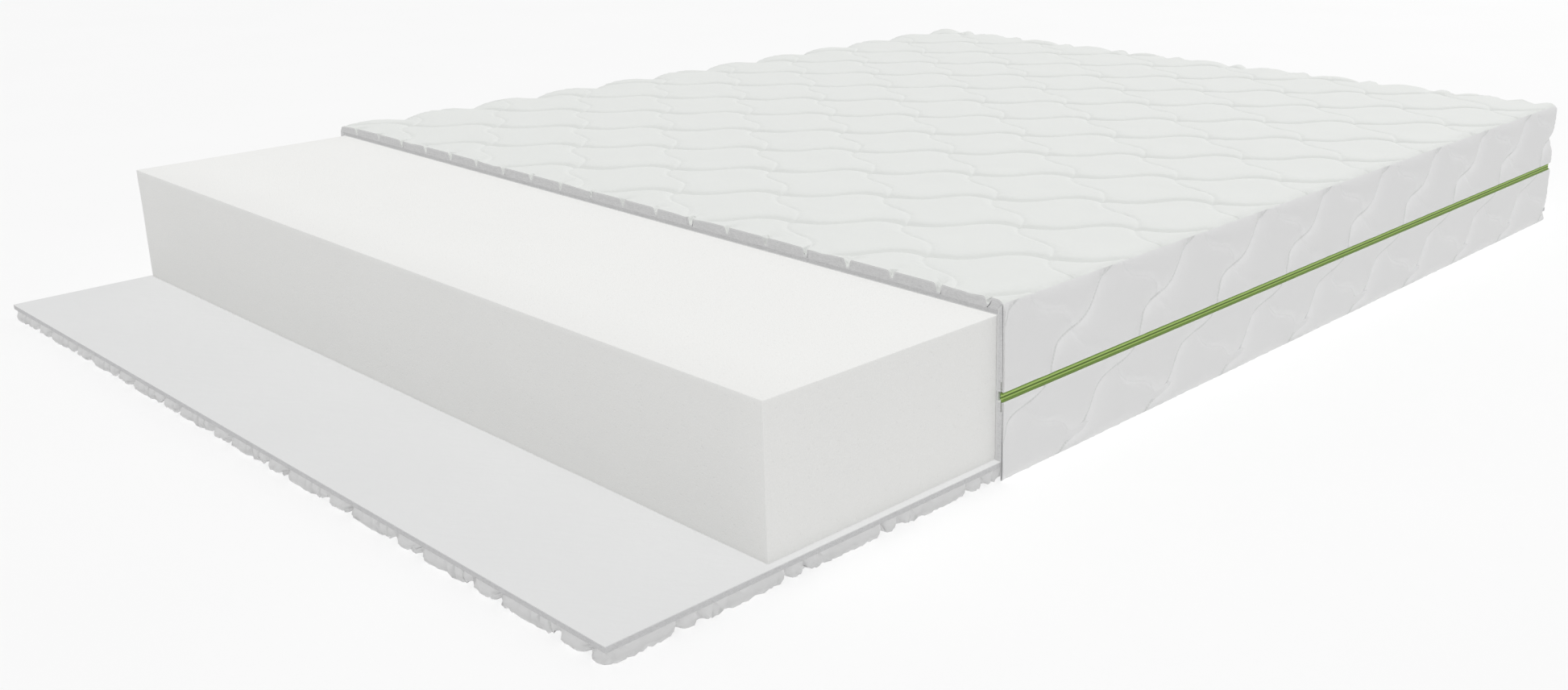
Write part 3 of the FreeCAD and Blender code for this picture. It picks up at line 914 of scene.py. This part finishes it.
LINING_OUT = CLEARANCE + LINING
EASE = 0.02  # width over which the upper panel's wadding narrows to the foam
SEAM_DIP = 0.0010  # of the cloth where the upper panel meets the border
SEAM_DIP_WIDTH = 0.003
SCALLOP_DEPTH = 0.0105  # of the dips between the domes of the upper edge
SCALLOP_REACH = 0.030
RIM = 0.0020  # fabric that shows round a cut section
EIGHTH = math.pi / 4
QUARTER = math.pi / 2

# Where each stitched pattern starts, and the start, pitch and short step of each row of gathers.
TOP_NODE = (0.178, 0.706)
BORDER_NODE = (0.1249, 0.1426)
UNDERSIDE_NODE = (0.644, -0.980)
LEFT_SCALLOP = (-0.374, 0.130)
FAR_SCALLOP = (-0.635, 0.1395, 0.034)
CUT_GATHER = (0.050, 0.139)
NEAR_GATHER = (0.667, 0.137, 0.046)
SIDE_GATHER = (-0.921, 0.130, 0.024)


class MATTRESS_OT_foam_block(bpy.types.Operator):
    """Make the block of memory foam"""

    bl_idname = "mattress.foam_block"
    bl_label = "Foam block"

    def execute(self, context):
        mesh = slab(FOAM_LOW, FOAM_HIGH, 24, context.scene.mattress_foam.edge, 0.0003, 11)
        piece = add_piece(mesh, "foam_block", ["slow_foam"], "core", ["foam_core"], 35)
        return {"FINISHED"}


class MATTRESS_OT_top_panel(bpy.types.Operator):
    """Make the quilted upper panel, its flat pad and its lining"""

    bl_idname = "mattress.top_panel"
    bl_label = "Upper panel"

    def execute(self, context):
        scene = context.scene
        self.radius = scene.mattress_top.edge_radius
        self.inner = scene.mattress_border.corner_radius - WALL
        self.reach, self.far = FACE_X + self.radius * EIGHTH, FACE_Y + self.radius * EIGHTH
        self.base = TOP - self.radius
        self.quilt(Quilting(scene.mattress_top, TOP_NODE))
        low, high = Vector((-FACE_X, CUT, PAD_LOW.z)), Vector((FACE_X, FACE_Y, self.base))
        add_pad(low, high, 0.0006, 12, "top_flat_pad", "upper_cover", "top_pad")
        mesh = flat_sheet(low, Vector((FACE_X, FACE_Y, PAD_LOW.z)), 60, 60, LINING)
        piece = add_piece(
            mesh, "top_lining_sheet", ["inner_lining"], "upper_cover", ["top_lining"], 35
        )
        return {"FINISHED"}

    def quilt(self, quilting):
        """The puffed face, bent to the border, with its wadding and its cut section."""
        fine_strip, turned = 0.016, self.radius * EIGHTH
        mesh = quilting.cloth((-self.reach, CUT), (self.reach, self.far), 22)
        rounded_clip(mesh, self.reach, CUT, self.far, self.inner + turned, ((1, 1), (-1, 1)))
        at_cut = [e for e in mesh.edges if all(v.co.y < CUT + fine_strip for v in e.verts)]
        bmesh.ops.subdivide_edges(mesh, edges=at_cut, cuts=5, use_grid_fill=True)
        flat = keep_flat(mesh)
        sunk = quilting.puff(mesh)
        place, normal, beyond = wrapped(
            flat, FACE_X, CUT - 1, FACE_Y, self.inner, self.radius, EIGHTH, TOP, 1
        )
        move_to(mesh, place - normal * self.depth(flat, sunk, place, beyond)[:, None])

        cloth = mesh.verts.layers.float_vector["cloth"]
        near = [e for e in open_edges(mesh) if all(v[cloth][1] < CUT + TINY for v in e.verts)]
        others = [e for e in open_edges(mesh) if e not in set(near)]
        inside = mesh.verts.layers.float_vector.new("inside")
        mesh.normal_update()
        for vertex in {v for e in near for v in e.verts}:
            down = Vector((vertex.normal.x, 0, vertex.normal.z)).normalized() * RIM
            vertex[inside] = vertex.co + (down if down.z < 0 else -down)
        extrude_row(mesh, others, self.mitre)
        rim, verts = extrude_row(mesh, near, lambda rows: np.zeros((len(rows), 3)), 2)
        for vertex in verts:
            vertex.co = vertex[inside]
        extrude_row(mesh, rim, self.narrowed, 1)
        bmesh.ops.remove_doubles(mesh, verts=[v for v in mesh.verts if v.is_boundary], dist=1e-5)
        paint(bmesh.ops.holes_fill(mesh, edges=open_edges(mesh), sides=0)["faces"], 2)
        bmesh.ops.recalc_face_normals(mesh, faces=mesh.faces[:])
        piece = add_piece(
            mesh, "top_quilted_panel", ["knit_top", "wadding_cut", "inner_lining"], "upper_cover",
            ["top_face_fabric", "top_wadding"], 50,
        )

    def depth(self, flat, sunk, place, beyond):
        """How far the face lies inside the panel's outline: puffs, seam dip, domes and cut slits."""
        turned = self.radius * EIGHTH
        to_seam = turned - beyond
        from_cut = flat[:, 1] - CUT
        from_edge = np.minimum(flat[:, 0] + self.reach, self.far - flat[:, 1])
        sunk *= faded(to_seam, 0.007) * (0.35 + 0.65 * faded(from_edge, 0.03))
        sunk *= 0.25 + 0.75 * faded(from_cut, 0.010)
        sunk += SEAM_DIP * np.exp(-to_seam / SEAM_DIP_WIDTH)
        inward = np.maximum(from_edge - turned, 0)
        sunk += edge_scallops(place, SCALLOP_DEPTH) * np.exp(-inward / SCALLOP_REACH)
        start, pitch = CUT_GATHER
        fanned = flat[:, 0] + 0.35 * from_cut
        tight, slit_length = 1.5, 0.012
        slits = gathers(fanned, start, pitch, 0.0100, 0.0075 + 0.10 * from_cut, tight)
        slits = np.maximum(slits, gathers(fanned, start + pitch / 2, pitch, 0.0085, 0.0065, tight))
        return np.maximum(sunk, slits * np.exp(-from_cut / slit_length) * faded(from_edge, 0.02))

    def mitre(self, rows):
        """Places on the mitre between the panel and the border."""
        x, y = FACE_X - self.inner, FACE_Y - self.inner
        inner_rows = np.column_stack((np.clip(rows[:, 0], -x, x), np.minimum(rows[:, 1], y)))
        away = rows[:, :2] - inner_rows
        way = away / np.maximum(np.linalg.norm(away, axis=1), TINY)[:, None]
        return np.column_stack((inner_rows + way * self.inner, np.full(len(rows), self.base)))

    def narrowed(self, rows):
        """Places along the foot of the cut section, no wider than the foam."""
        across, full = np.abs(rows[:, 0]), FACE_X - EASE
        eased = across - full
        inward = np.where(eased > 0, full + eased * EASE / (self.reach - FACE_X + EASE), across)
        return np.column_stack((np.sign(rows[:, 0]) * inward, rows[:, 1], np.full(len(rows), self.base)))


class MATTRESS_OT_borders(bpy.types.Operator):
    """Make the quilted border above and below the zip, with its linings"""

    bl_idname = "mattress.borders"
    bl_label = "Borders"

    SOLE = 0.0003

    def execute(self, context):
        self.settings = context.scene.mattress_border
        self.radius = context.scene.mattress_top.edge_radius
        self.wall = Wall(self.settings.corner_radius)
        self.crown = TOP - self.radius
        self.high = self.crown + self.radius * EIGHTH
        self.low = self.SOLE + self.settings.foot_radius * (1 - QUARTER)
        mesh = self.quilt(HEM_HIGH, self.high, HEM_HIGH, 1)
        hem = self.inward(mesh, self.row(mesh, HEM_HIGH), LINING_OUT, HEM_HIGH)
        crown = self.inward(mesh, self.row(mesh, self.high), LINING_OUT, self.crown + LINING_OUT)
        self.close(mesh, hem, crown, "upper")
        self.lining("upper", HEM_HIGH, PAD_LOW.z)
        mesh = self.quilt(self.low, HEM_LOW, HEM_LOW, -1)
        hem = self.inward(mesh, self.row(mesh, HEM_LOW), LINING_OUT, HEM_LOW)
        panel_edge = PANEL_HIGH.x - FACE_X + CLEARANCE / 2
        sole = self.inward(mesh, self.row(mesh, self.low), panel_edge, PANEL_HIGH.z)
        ledge = self.inward(mesh, sole, LINING_OUT, PANEL_HIGH.z)
        self.close(mesh, hem, ledge, "lower")
        self.lining("lower", PANEL_HIGH.z, HEM_LOW)
        return {"FINISHED"}

    def section(self, height):
        """Where the border's face lies for a height on the flat cloth: out, up and its normal."""
        foot = self.settings.foot_radius
        lean = np.maximum(height - self.crown, 0) / self.radius
        tuck = np.maximum(self.SOLE + foot - height, 0) / foot
        out = WALL - self.radius * (1 - np.cos(lean)) - foot * (1 - np.cos(tuck))
        up = np.clip(height, self.SOLE + foot, self.crown)
        up = up + self.radius * np.sin(lean) - foot * np.sin(tuck)
        return out, up, np.cos(lean + tuck), np.sin(lean) - np.sin(tuck)

    def quilt(self, low, high, hem, hem_side):
        """The puffed face between two heights of the flat cloth, with a flat rolled hem."""
        quilting = Quilting(self.settings, BORDER_NODE)
        length = self.wall.length
        mesh = quilting.cloth((0, low), (length, high), 20)
        trim(mesh, 0, length, low, high)
        for knot in self.wall.knots[1:-1]:
            bmesh.ops.bisect_plane(mesh, geom=all_parts(mesh), plane_co=(knot, 0, 0), plane_no=(1, 0, 0))
        for step in (0.0006, 0.0014, 0.0030):
            line = (0, hem + hem_side * step, 0)
            bmesh.ops.bisect_plane(mesh, geom=all_parts(mesh), plane_co=line, plane_no=(0, 1, 0))
        flat = keep_flat(mesh)
        sunk = quilting.puff(mesh)
        from_hem = np.abs(flat[:, 1] - hem)
        from_cut = np.minimum(flat[:, 0], length - flat[:, 0])
        tape_room, unevenness = WALL - TAPE_OUT - 0.0006, 0.0008
        room = tape_room / (self.settings.seam_depth + unevenness)
        held = faded(from_hem, 0.006) * (0.1 + 0.9 * faded(from_cut, 0.010))
        held *= room + (1 - room) * np.clip(from_hem / 0.014 - 1, 0, 1)
        roll = 0.0011
        rolled = roll * np.exp(-from_hem / roll)
        from_crown = np.maximum(self.high - flat[:, 1], 0)
        seamed = SEAM_DIP * np.exp(-from_crown / SEAM_DIP_WIDTH)
        out, up, face_out, face_up = self.section(flat[:, 1])
        seen = self.wall.place(flat[:, 0], out, up)
        domes = edge_scallops(seen, SCALLOP_DEPTH) * np.exp(-from_crown / SCALLOP_REACH)
        held *= faded(flat[:, 1] + self.settings.foot_radius / 2, 0.016)
        depth = sunk * held * faded(from_crown, 0.007) + rolled + seamed + domes
        wavy = 0.00012 * ripples(flat * (1, 0.3, 1), 0.028, 8) * np.exp(-from_hem / 0.004)
        up = up + wavy
        move_to(mesh, self.wall.place(flat[:, 0], out - depth * face_out, up - depth * face_up))
        return mesh

    def row(self, mesh, height):
        """The open edges at a height of the flat cloth."""
        cloth = mesh.verts.layers.float_vector["cloth"]
        return [e for e in open_edges(mesh) if all(abs(v[cloth][1] - height) < TINY for v in e.verts)]

    def inward(self, mesh, row, out, height):
        """Extrudes a row to that distance from the foam and that height."""
        def target(rows):
            count = len(rows)
            return self.wall.place(rows[:, 0], np.full(count, out), np.full(count, height))
        return extrude_row(mesh, row, target)[0]

    def close(self, mesh, first, second, half):
        """Joins the inner wall, fills the cut ends and makes the piece."""
        paint(bmesh.ops.bridge_loops(mesh, edges=first + second)["faces"], 2)
        ends = bmesh.ops.holes_fill(mesh, edges=open_edges(mesh), sides=0)["faces"]
        bmesh.ops.recalc_face_normals(mesh, faces=mesh.faces[:])
        for face in ends:
            cut_face(mesh, face, RIM, 1, 2)
        piece = add_piece(
            mesh, f"{half}_quilted_border", ["knit_border", "wadding_cut", "inner_lining"],
            f"{half}_cover", [f"{half}_border_fabric", f"{half}_border_wadding"], 50,
        )

    def lining(self, half, low, high):
        outline = ((CLEARANCE, low), (LINING_OUT, low), (LINING_OUT, high), (CLEARANCE, high))
        node = f"{half}_border_lining"
        piece = add_piece(
            sweep(self.wall, outline), f"{node}_sheet", ["inner_lining"], f"{half}_cover", [node],
            smooth=False,
        )
        inside = self.wall.length - math.pi * WALL
        flat = (inside, high - low)


class MATTRESS_OT_lower_panel(bpy.types.Operator):
    """Make the quilted lower panel, its flat pad and its lining"""

    bl_idname = "mattress.lower_panel"
    bl_label = "Lower panel"

    SOLE = 0.0004
    CORNER = 0.005

    def execute(self, context):
        settings = context.scene.mattress_underside
        self.quilt(Quilting(settings, UNDERSIDE_NODE), settings.edge_radius)
        low = Vector((PANEL_LOW.x, PANEL_LOW.y, BASE_HIGH.z))
        high = Vector((PANEL_HIGH.x, PANEL_HIGH.y, PANEL_LOW.z))
        add_pad(low, high, 0.0005, 14, "bottom_flat_pad", "lower_cover", "bottom_pad")
        mesh = flat_sheet(PANEL_LOW, PANEL_HIGH, 140, 200, LINING)
        piece = add_piece(
            mesh, "bottom_lining_sheet", ["inner_lining"], "lower_cover", ["bottom_lining"], 35
        )
        return {"FINISHED"}

    def quilt(self, quilting, radius):
        """The puffed underside, bent up round its edges, with gathers and folds where it is bare."""
        inset, shown = 0.0002, 0.05
        reach = PANEL_HIGH.x - inset - radius
        low, high = PANEL_LOW.y + inset + radius, PANEL_HIGH.y - inset - radius
        rise = radius * QUARTER + BASE_HIGH.z - self.SOLE - radius
        mesh = quilting.cloth((-reach - rise, low - rise), (reach + rise, high + rise), 12)
        corners = ((1, 1), (-1, 1), (1, -1), (-1, -1))
        rounded_clip(mesh, reach + rise, low - rise, high + rise, self.CORNER + rise, corners)
        border = [
            e for e in mesh.edges
            if all(v.co.y < low + shown or (v.co.x > reach - shown and v.co.y < CUT + shown) for v in e.verts)
        ]
        bmesh.ops.subdivide_edges(mesh, edges=border, cuts=1, use_grid_fill=True)
        flat = keep_flat(mesh)
        sunk = quilting.puff(mesh)
        place, normal, _ = wrapped(flat, reach, low, high, self.CORNER, radius, QUARTER, self.SOLE, -1)
        from_near, from_side = flat[:, 1] - low, reach - np.abs(flat[:, 0])
        from_edge = np.minimum(np.minimum(from_side, from_near), high - flat[:, 1])
        at_edge = np.exp(-np.maximum(from_edge, 0) / 0.02)
        near = from_near < from_side
        station = np.where(near, flat[:, 0], flat[:, 1])
        fan = station + 0.25 * from_edge
        puffs = np.zeros(len(flat))
        for (start, pitch, short), side in ((NEAR_GATHER, near), (SIDE_GATHER, ~near)):
            for offset in (0, -short if start > 0 else short):
                ends = gathers(fan, start + offset, pitch, 0.0120, 0.012)
                puffs = np.where(side, np.maximum(puffs, ends), puffs)
        fold_depth, fold_pitch = 0.0042, 0.017
        lean = station * 1.0 + from_edge * 0.9 + 0.006 * ripples(flat, 0.05, 23)
        folds = fold_depth * (1 - np.abs(np.sin(lean / fold_pitch * math.pi))) ** 2
        folds *= np.clip(0.65 + 0.55 * ripples(flat, 0.04, 24), 0, 1.3)
        folds = folds + 0.0003 * ripples(flat, 0.007, 22)
        climb = np.clip(-from_edge / rise, 0, 1)
        bulge = 0.0020 * np.sin(math.pi * climb) - 0.0022 * climb**4
        loose = np.clip(1.3 - climb * 1.3, 0, 1)
        bare = np.clip((CUT - place[:, 1]) / 0.01, 0, 1)
        sunk = sunk * (1 - 0.85 * at_edge) + at_edge * bare * (puffs + folds * loose - bulge)
        tucked, least_wadding = 0.0030, 0.0015
        sunk += tucked * at_edge * (1 - bare) * (1 - climb)
        sunk = np.minimum(sunk, BASE_HIGH.z - self.SOLE - least_wadding)
        move_to(mesh, place - normal * sunk[:, None])
        paint(bmesh.ops.edgeloop_fill(mesh, edges=open_edges(mesh))["faces"], 1)
        bmesh.ops.recalc_face_normals(mesh, faces=mesh.faces[:])
        piece = add_piece(
            mesh, "bottom_quilted_panel", ["knit_under", "wadding_cut"], "lower_cover",
            ["bottom_face_fabric", "bottom_wadding"], 70,
        )


class MATTRESS_OT_zip(bpy.types.Operator):
    """Make the zip's tapes, coils, stitching and guard, and finish its slider and stops"""

    bl_idname = "mattress.zip"
    bl_label = "Zip"

    def execute(self, context):
        self.look = context.scene.mattress_zip
        self.wall = Wall(context.scene.mattress_border.corner_radius)
        for half, side in (("lower", -1), ("upper", 1)):
            self.tape(half, side)
            self.coil(half, side)
            self.stitching(half)
            dress(f"{half}_zip_stop", "coil_nylon")
        self.guard()
        dress("zip_slider", "satin_nickel")
        dress("zip_pull", "satin_nickel")
        return {"FINISHED"}

    def strip(self, node):
        """The heights of a strip's edges above or below the zip's middle, nearer edge first."""
        return sorted(abs(corner.z - ZIP_HEIGHT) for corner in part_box(node))

    def tape(self, half, side):
        """A woven strip with a rib beside the coil and an outer edge rolled up to the hem."""
        node = f"{half}_zip_tape"
        near, root = self.strip(node)
        lip, rib = min(near, 0.0001), TAPE_OUT + 0.00022
        channel = HEM_HIGH - ZIP_HEIGHT
        edge = WALL - 0.0020
        profile = (
            (COIL_OUT, lip), (TAPE_OUT, lip), (TAPE_OUT, near + 0.0003), (rib, near + 0.0006),
            (rib, near + 0.0013), (TAPE_OUT, near + 0.0017), (TAPE_OUT, channel - 0.0011),
            (TAPE_OUT + 0.0008, channel - 0.0006), (edge, channel - 0.0003), (edge, channel),
            (TAPE_OUT, channel + 0.0004), (TAPE_OUT, root), (COIL_OUT, root),
        )
        outline = [(out, ZIP_HEIGHT + side * up) for out, up in profile]
        piece = add_piece(
            sweep(self.wall, outline), f"{node}_woven", ["zip_weave"], f"{half}_cover", [node],
            40,
        )

    def coil(self, half, side):
        """Nylon loops sewn to the back of the tape, with the bare stretch where the slider parks."""
        node = f"{half}_zip_coil"
        near, root = self.strip(node)
        loop_width, loop_depth, half_bare = 0.0007, 0.0024, 0.015
        inner = COIL_OUT - loop_depth
        middle = ((inner + COIL_OUT) / 2, ZIP_HEIGHT + side * (near + root) / 2)
        at = Matrix.Translation((self.look.pitch / 2, *middle))
        size = Matrix.Diagonal((loop_width, COIL_OUT - inner, root - near, 1))
        mesh = bmesh.new()
        bmesh.ops.create_cube(mesh, size=1, matrix=at @ size)
        bevel(mesh, mesh.edges[:], 0.0003, 1)
        repeat(mesh, self.look.pitch, self.wall.length)
        bend_along(mesh, self.wall)
        low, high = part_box("zip_slider")
        parked = (low.x + high.x) / 2
        centres = {f: f.calc_center_median() for f in mesh.faces}
        bare = [f for f, c in centres.items() if c.y > FACE_Y and abs(c.x - parked) < half_bare]
        bmesh.ops.delete(mesh, geom=bare, context="FACES")
        add_piece(mesh, f"{node}_loops", ["coil_nylon"], f"{half}_cover", [node])

    def stitching(self, half):
        """A row of short stitches through the tape."""
        node = f"{half}_zip_stitching"
        low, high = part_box(node)
        radius, stitch = 0.00025, self.look.stitch
        middle = Vector((stitch / 2, high.x - FACE_X - radius, (low.z + high.z) / 2))
        mesh = bmesh.new()
        bmesh.ops.create_cone(
            mesh, cap_ends=True, segments=6, radius1=radius, radius2=radius, depth=stitch * 0.8,
            matrix=Matrix.Translation(middle) @ Matrix.Rotation(QUARTER, 4, "Y"),
        )
        repeat(mesh, stitch, self.wall.length)
        bend_along(mesh, self.wall)
        add_piece(mesh, f"{node}_thread", ["sewing_thread"], f"{half}_cover", [node])

    def guard(self):
        """The flap behind the zip, its upper edge eased."""
        low, high = GUARD_LOW.z, GUARD_HIGH.z
        inner, outer = LINING_OUT, GUARD_HIGH.x - FACE_X
        ease = (outer - inner) * 0.3
        outline = (
            (inner, low), (outer, low), (outer, high - ease), (outer - ease, high), (inner + ease, high),
            (inner, high - ease),
        )
        piece = add_piece(
            sweep(self.wall, outline), "zip_guard_flap", ["inner_lining"], "lower_cover",
            ["zip_guard"], smooth=False,
        )


class MATTRESS_OT_stage(bpy.types.Operator):
    """Make the pale floor, the soft light and the camera"""

    bl_idname = "mattress.stage"
    bl_label = "Stage"

    def execute(self, context):
        look = context.scene.mattress_stage
        self.floor(look)
        self.light()
        self.camera(look)
        context.scene.view_settings.view_transform = "Standard"
        return {"FINISHED"}

    def floor(self, look):
        mesh = bmesh.new()
        bmesh.ops.create_grid(mesh, x_segments=1, y_segments=1, size=look.floor_size / 2)
        finish = Finish("pale_floor")
        paper = finish.noise(finish.place(), 0.4, 3.0)
        material = finish.surface(Base_Color=finish.tone(0.99 + paper * 0.02, look.floor), Roughness=0.9)
        put_in_scene(mesh, "floor", [material])

    def light(self):
        world = bpy.data.worlds.new("soft_box")
        bpy.context.scene.world = world
        world.use_nodes = True
        sky = world.node_tree.nodes["Background"]
        sky.inputs["Color"].default_value = (1.0, 1.0, 1.0, 1.0)
        sky.inputs["Strength"].default_value = 0.56
        self.sun("overhead_light", (0.0, -0.15, 1.0), 1.00)
        self.sun("far_light", (-0.28, 0.86, 0.43), 0.95)
        self.sun("side_light", (0.927, -0.325, 0.185), 0.30)

    def sun(self, name, towards, strength):
        """A fill light from far away that casts no shadow."""
        lamp = bpy.data.lights.new(name, "SUN")
        lamp.energy = strength
        lamp.angle = math.radians(8)
        lamp.use_shadow = False
        light = bpy.data.objects.new(name, lamp)
        light.rotation_euler = Vector(towards).to_track_quat("Z", "Y").to_euler()
        bpy.context.scene.collection.objects.link(light)

    def camera(self, look):
        """Looks down over the open corner, from the right and in front."""
        stand = (1.676, -1.674, 0.702)
        azimuth, elevation, roll = math.radians(43.14), math.radians(17.64), math.radians(-0.32)
        level = math.cos(elevation)
        ahead = Vector((-math.sin(azimuth) * level, math.cos(azimuth) * level, -math.sin(elevation)))
        right = Vector((math.cos(azimuth), math.sin(azimuth), 0))
        up = right.cross(ahead)
        turned_right = right * math.cos(roll) + up * math.sin(roll)
        turned_up = up * math.cos(roll) - right * math.sin(roll)
        lens = bpy.data.cameras.new("camera")
        lens.lens = look.lens
        lens.shift_x, lens.shift_y = -0.077, -0.032
        lens.clip_end = 200.0
        camera = bpy.data.objects.new("camera", lens)
        turn = Matrix((turned_right, turned_up, -ahead)).transposed().to_4x4()
        camera.matrix_world = Matrix.Translation(stand) @ turn
        bpy.context.scene.collection.objects.link(camera)
        bpy.context.scene.camera = camera


PIECES = (
    MATTRESS_OT_foam_block,
    MATTRESS_OT_top_panel,
    MATTRESS_OT_borders,
    MATTRESS_OT_lower_panel,
    MATTRESS_OT_zip,
    MATTRESS_OT_stage,
)
SETTINGS = {
    "mattress_top": TopQuilt,
    "mattress_border": BorderQuilt,
    "mattress_underside": UndersideQuilt,
    "mattress_cover": CoverLook,
    "mattress_foam": FoamLook,
    "mattress_zip": ZipLook,
    "mattress_stage": StageLook,
}


class MATTRESS_PT_pieces(bpy.types.Panel):
    """Buttons that make the mattress's pieces, and their settings"""

    bl_idname = "MATTRESS_PT_pieces"
    bl_label = "Mattress"
    bl_space_type = "VIEW_3D"
    bl_region_type = "UI"
    bl_category = "Mattress"

    def draw(self, context):
        for piece in PIECES:
            self.layout.operator(piece.bl_idname)
        for name, kind in SETTINGS.items():
            box = self.layout.box()
            box.label(text=kind.__doc__)
            for setting in kind.__annotations__:
                box.prop(getattr(context.scene, name), setting)


def register():
    for kind in (*SETTINGS.values(), *PIECES, MATTRESS_PT_pieces):
        bpy.utils.register_class(kind)
    for name, kind in SETTINGS.items():
        setattr(bpy.types.Scene, name, bpy.props.PointerProperty(type=kind))


def unregister():
    for name in SETTINGS:
        delattr(bpy.types.Scene, name)
    for kind in (MATTRESS_PT_pieces, *reversed(PIECES), *SETTINGS.values()):
        bpy.utils.unregister_class(kind)


def main():
    register()
    bpy.ops.mattress.foam_block()
    bpy.ops.mattress.top_panel()
    bpy.ops.mattress.borders()
    bpy.ops.mattress.lower_panel()
    bpy.ops.mattress.zip()
    bpy.ops.mattress.stage()


if __name__ == "__main__":
    main()
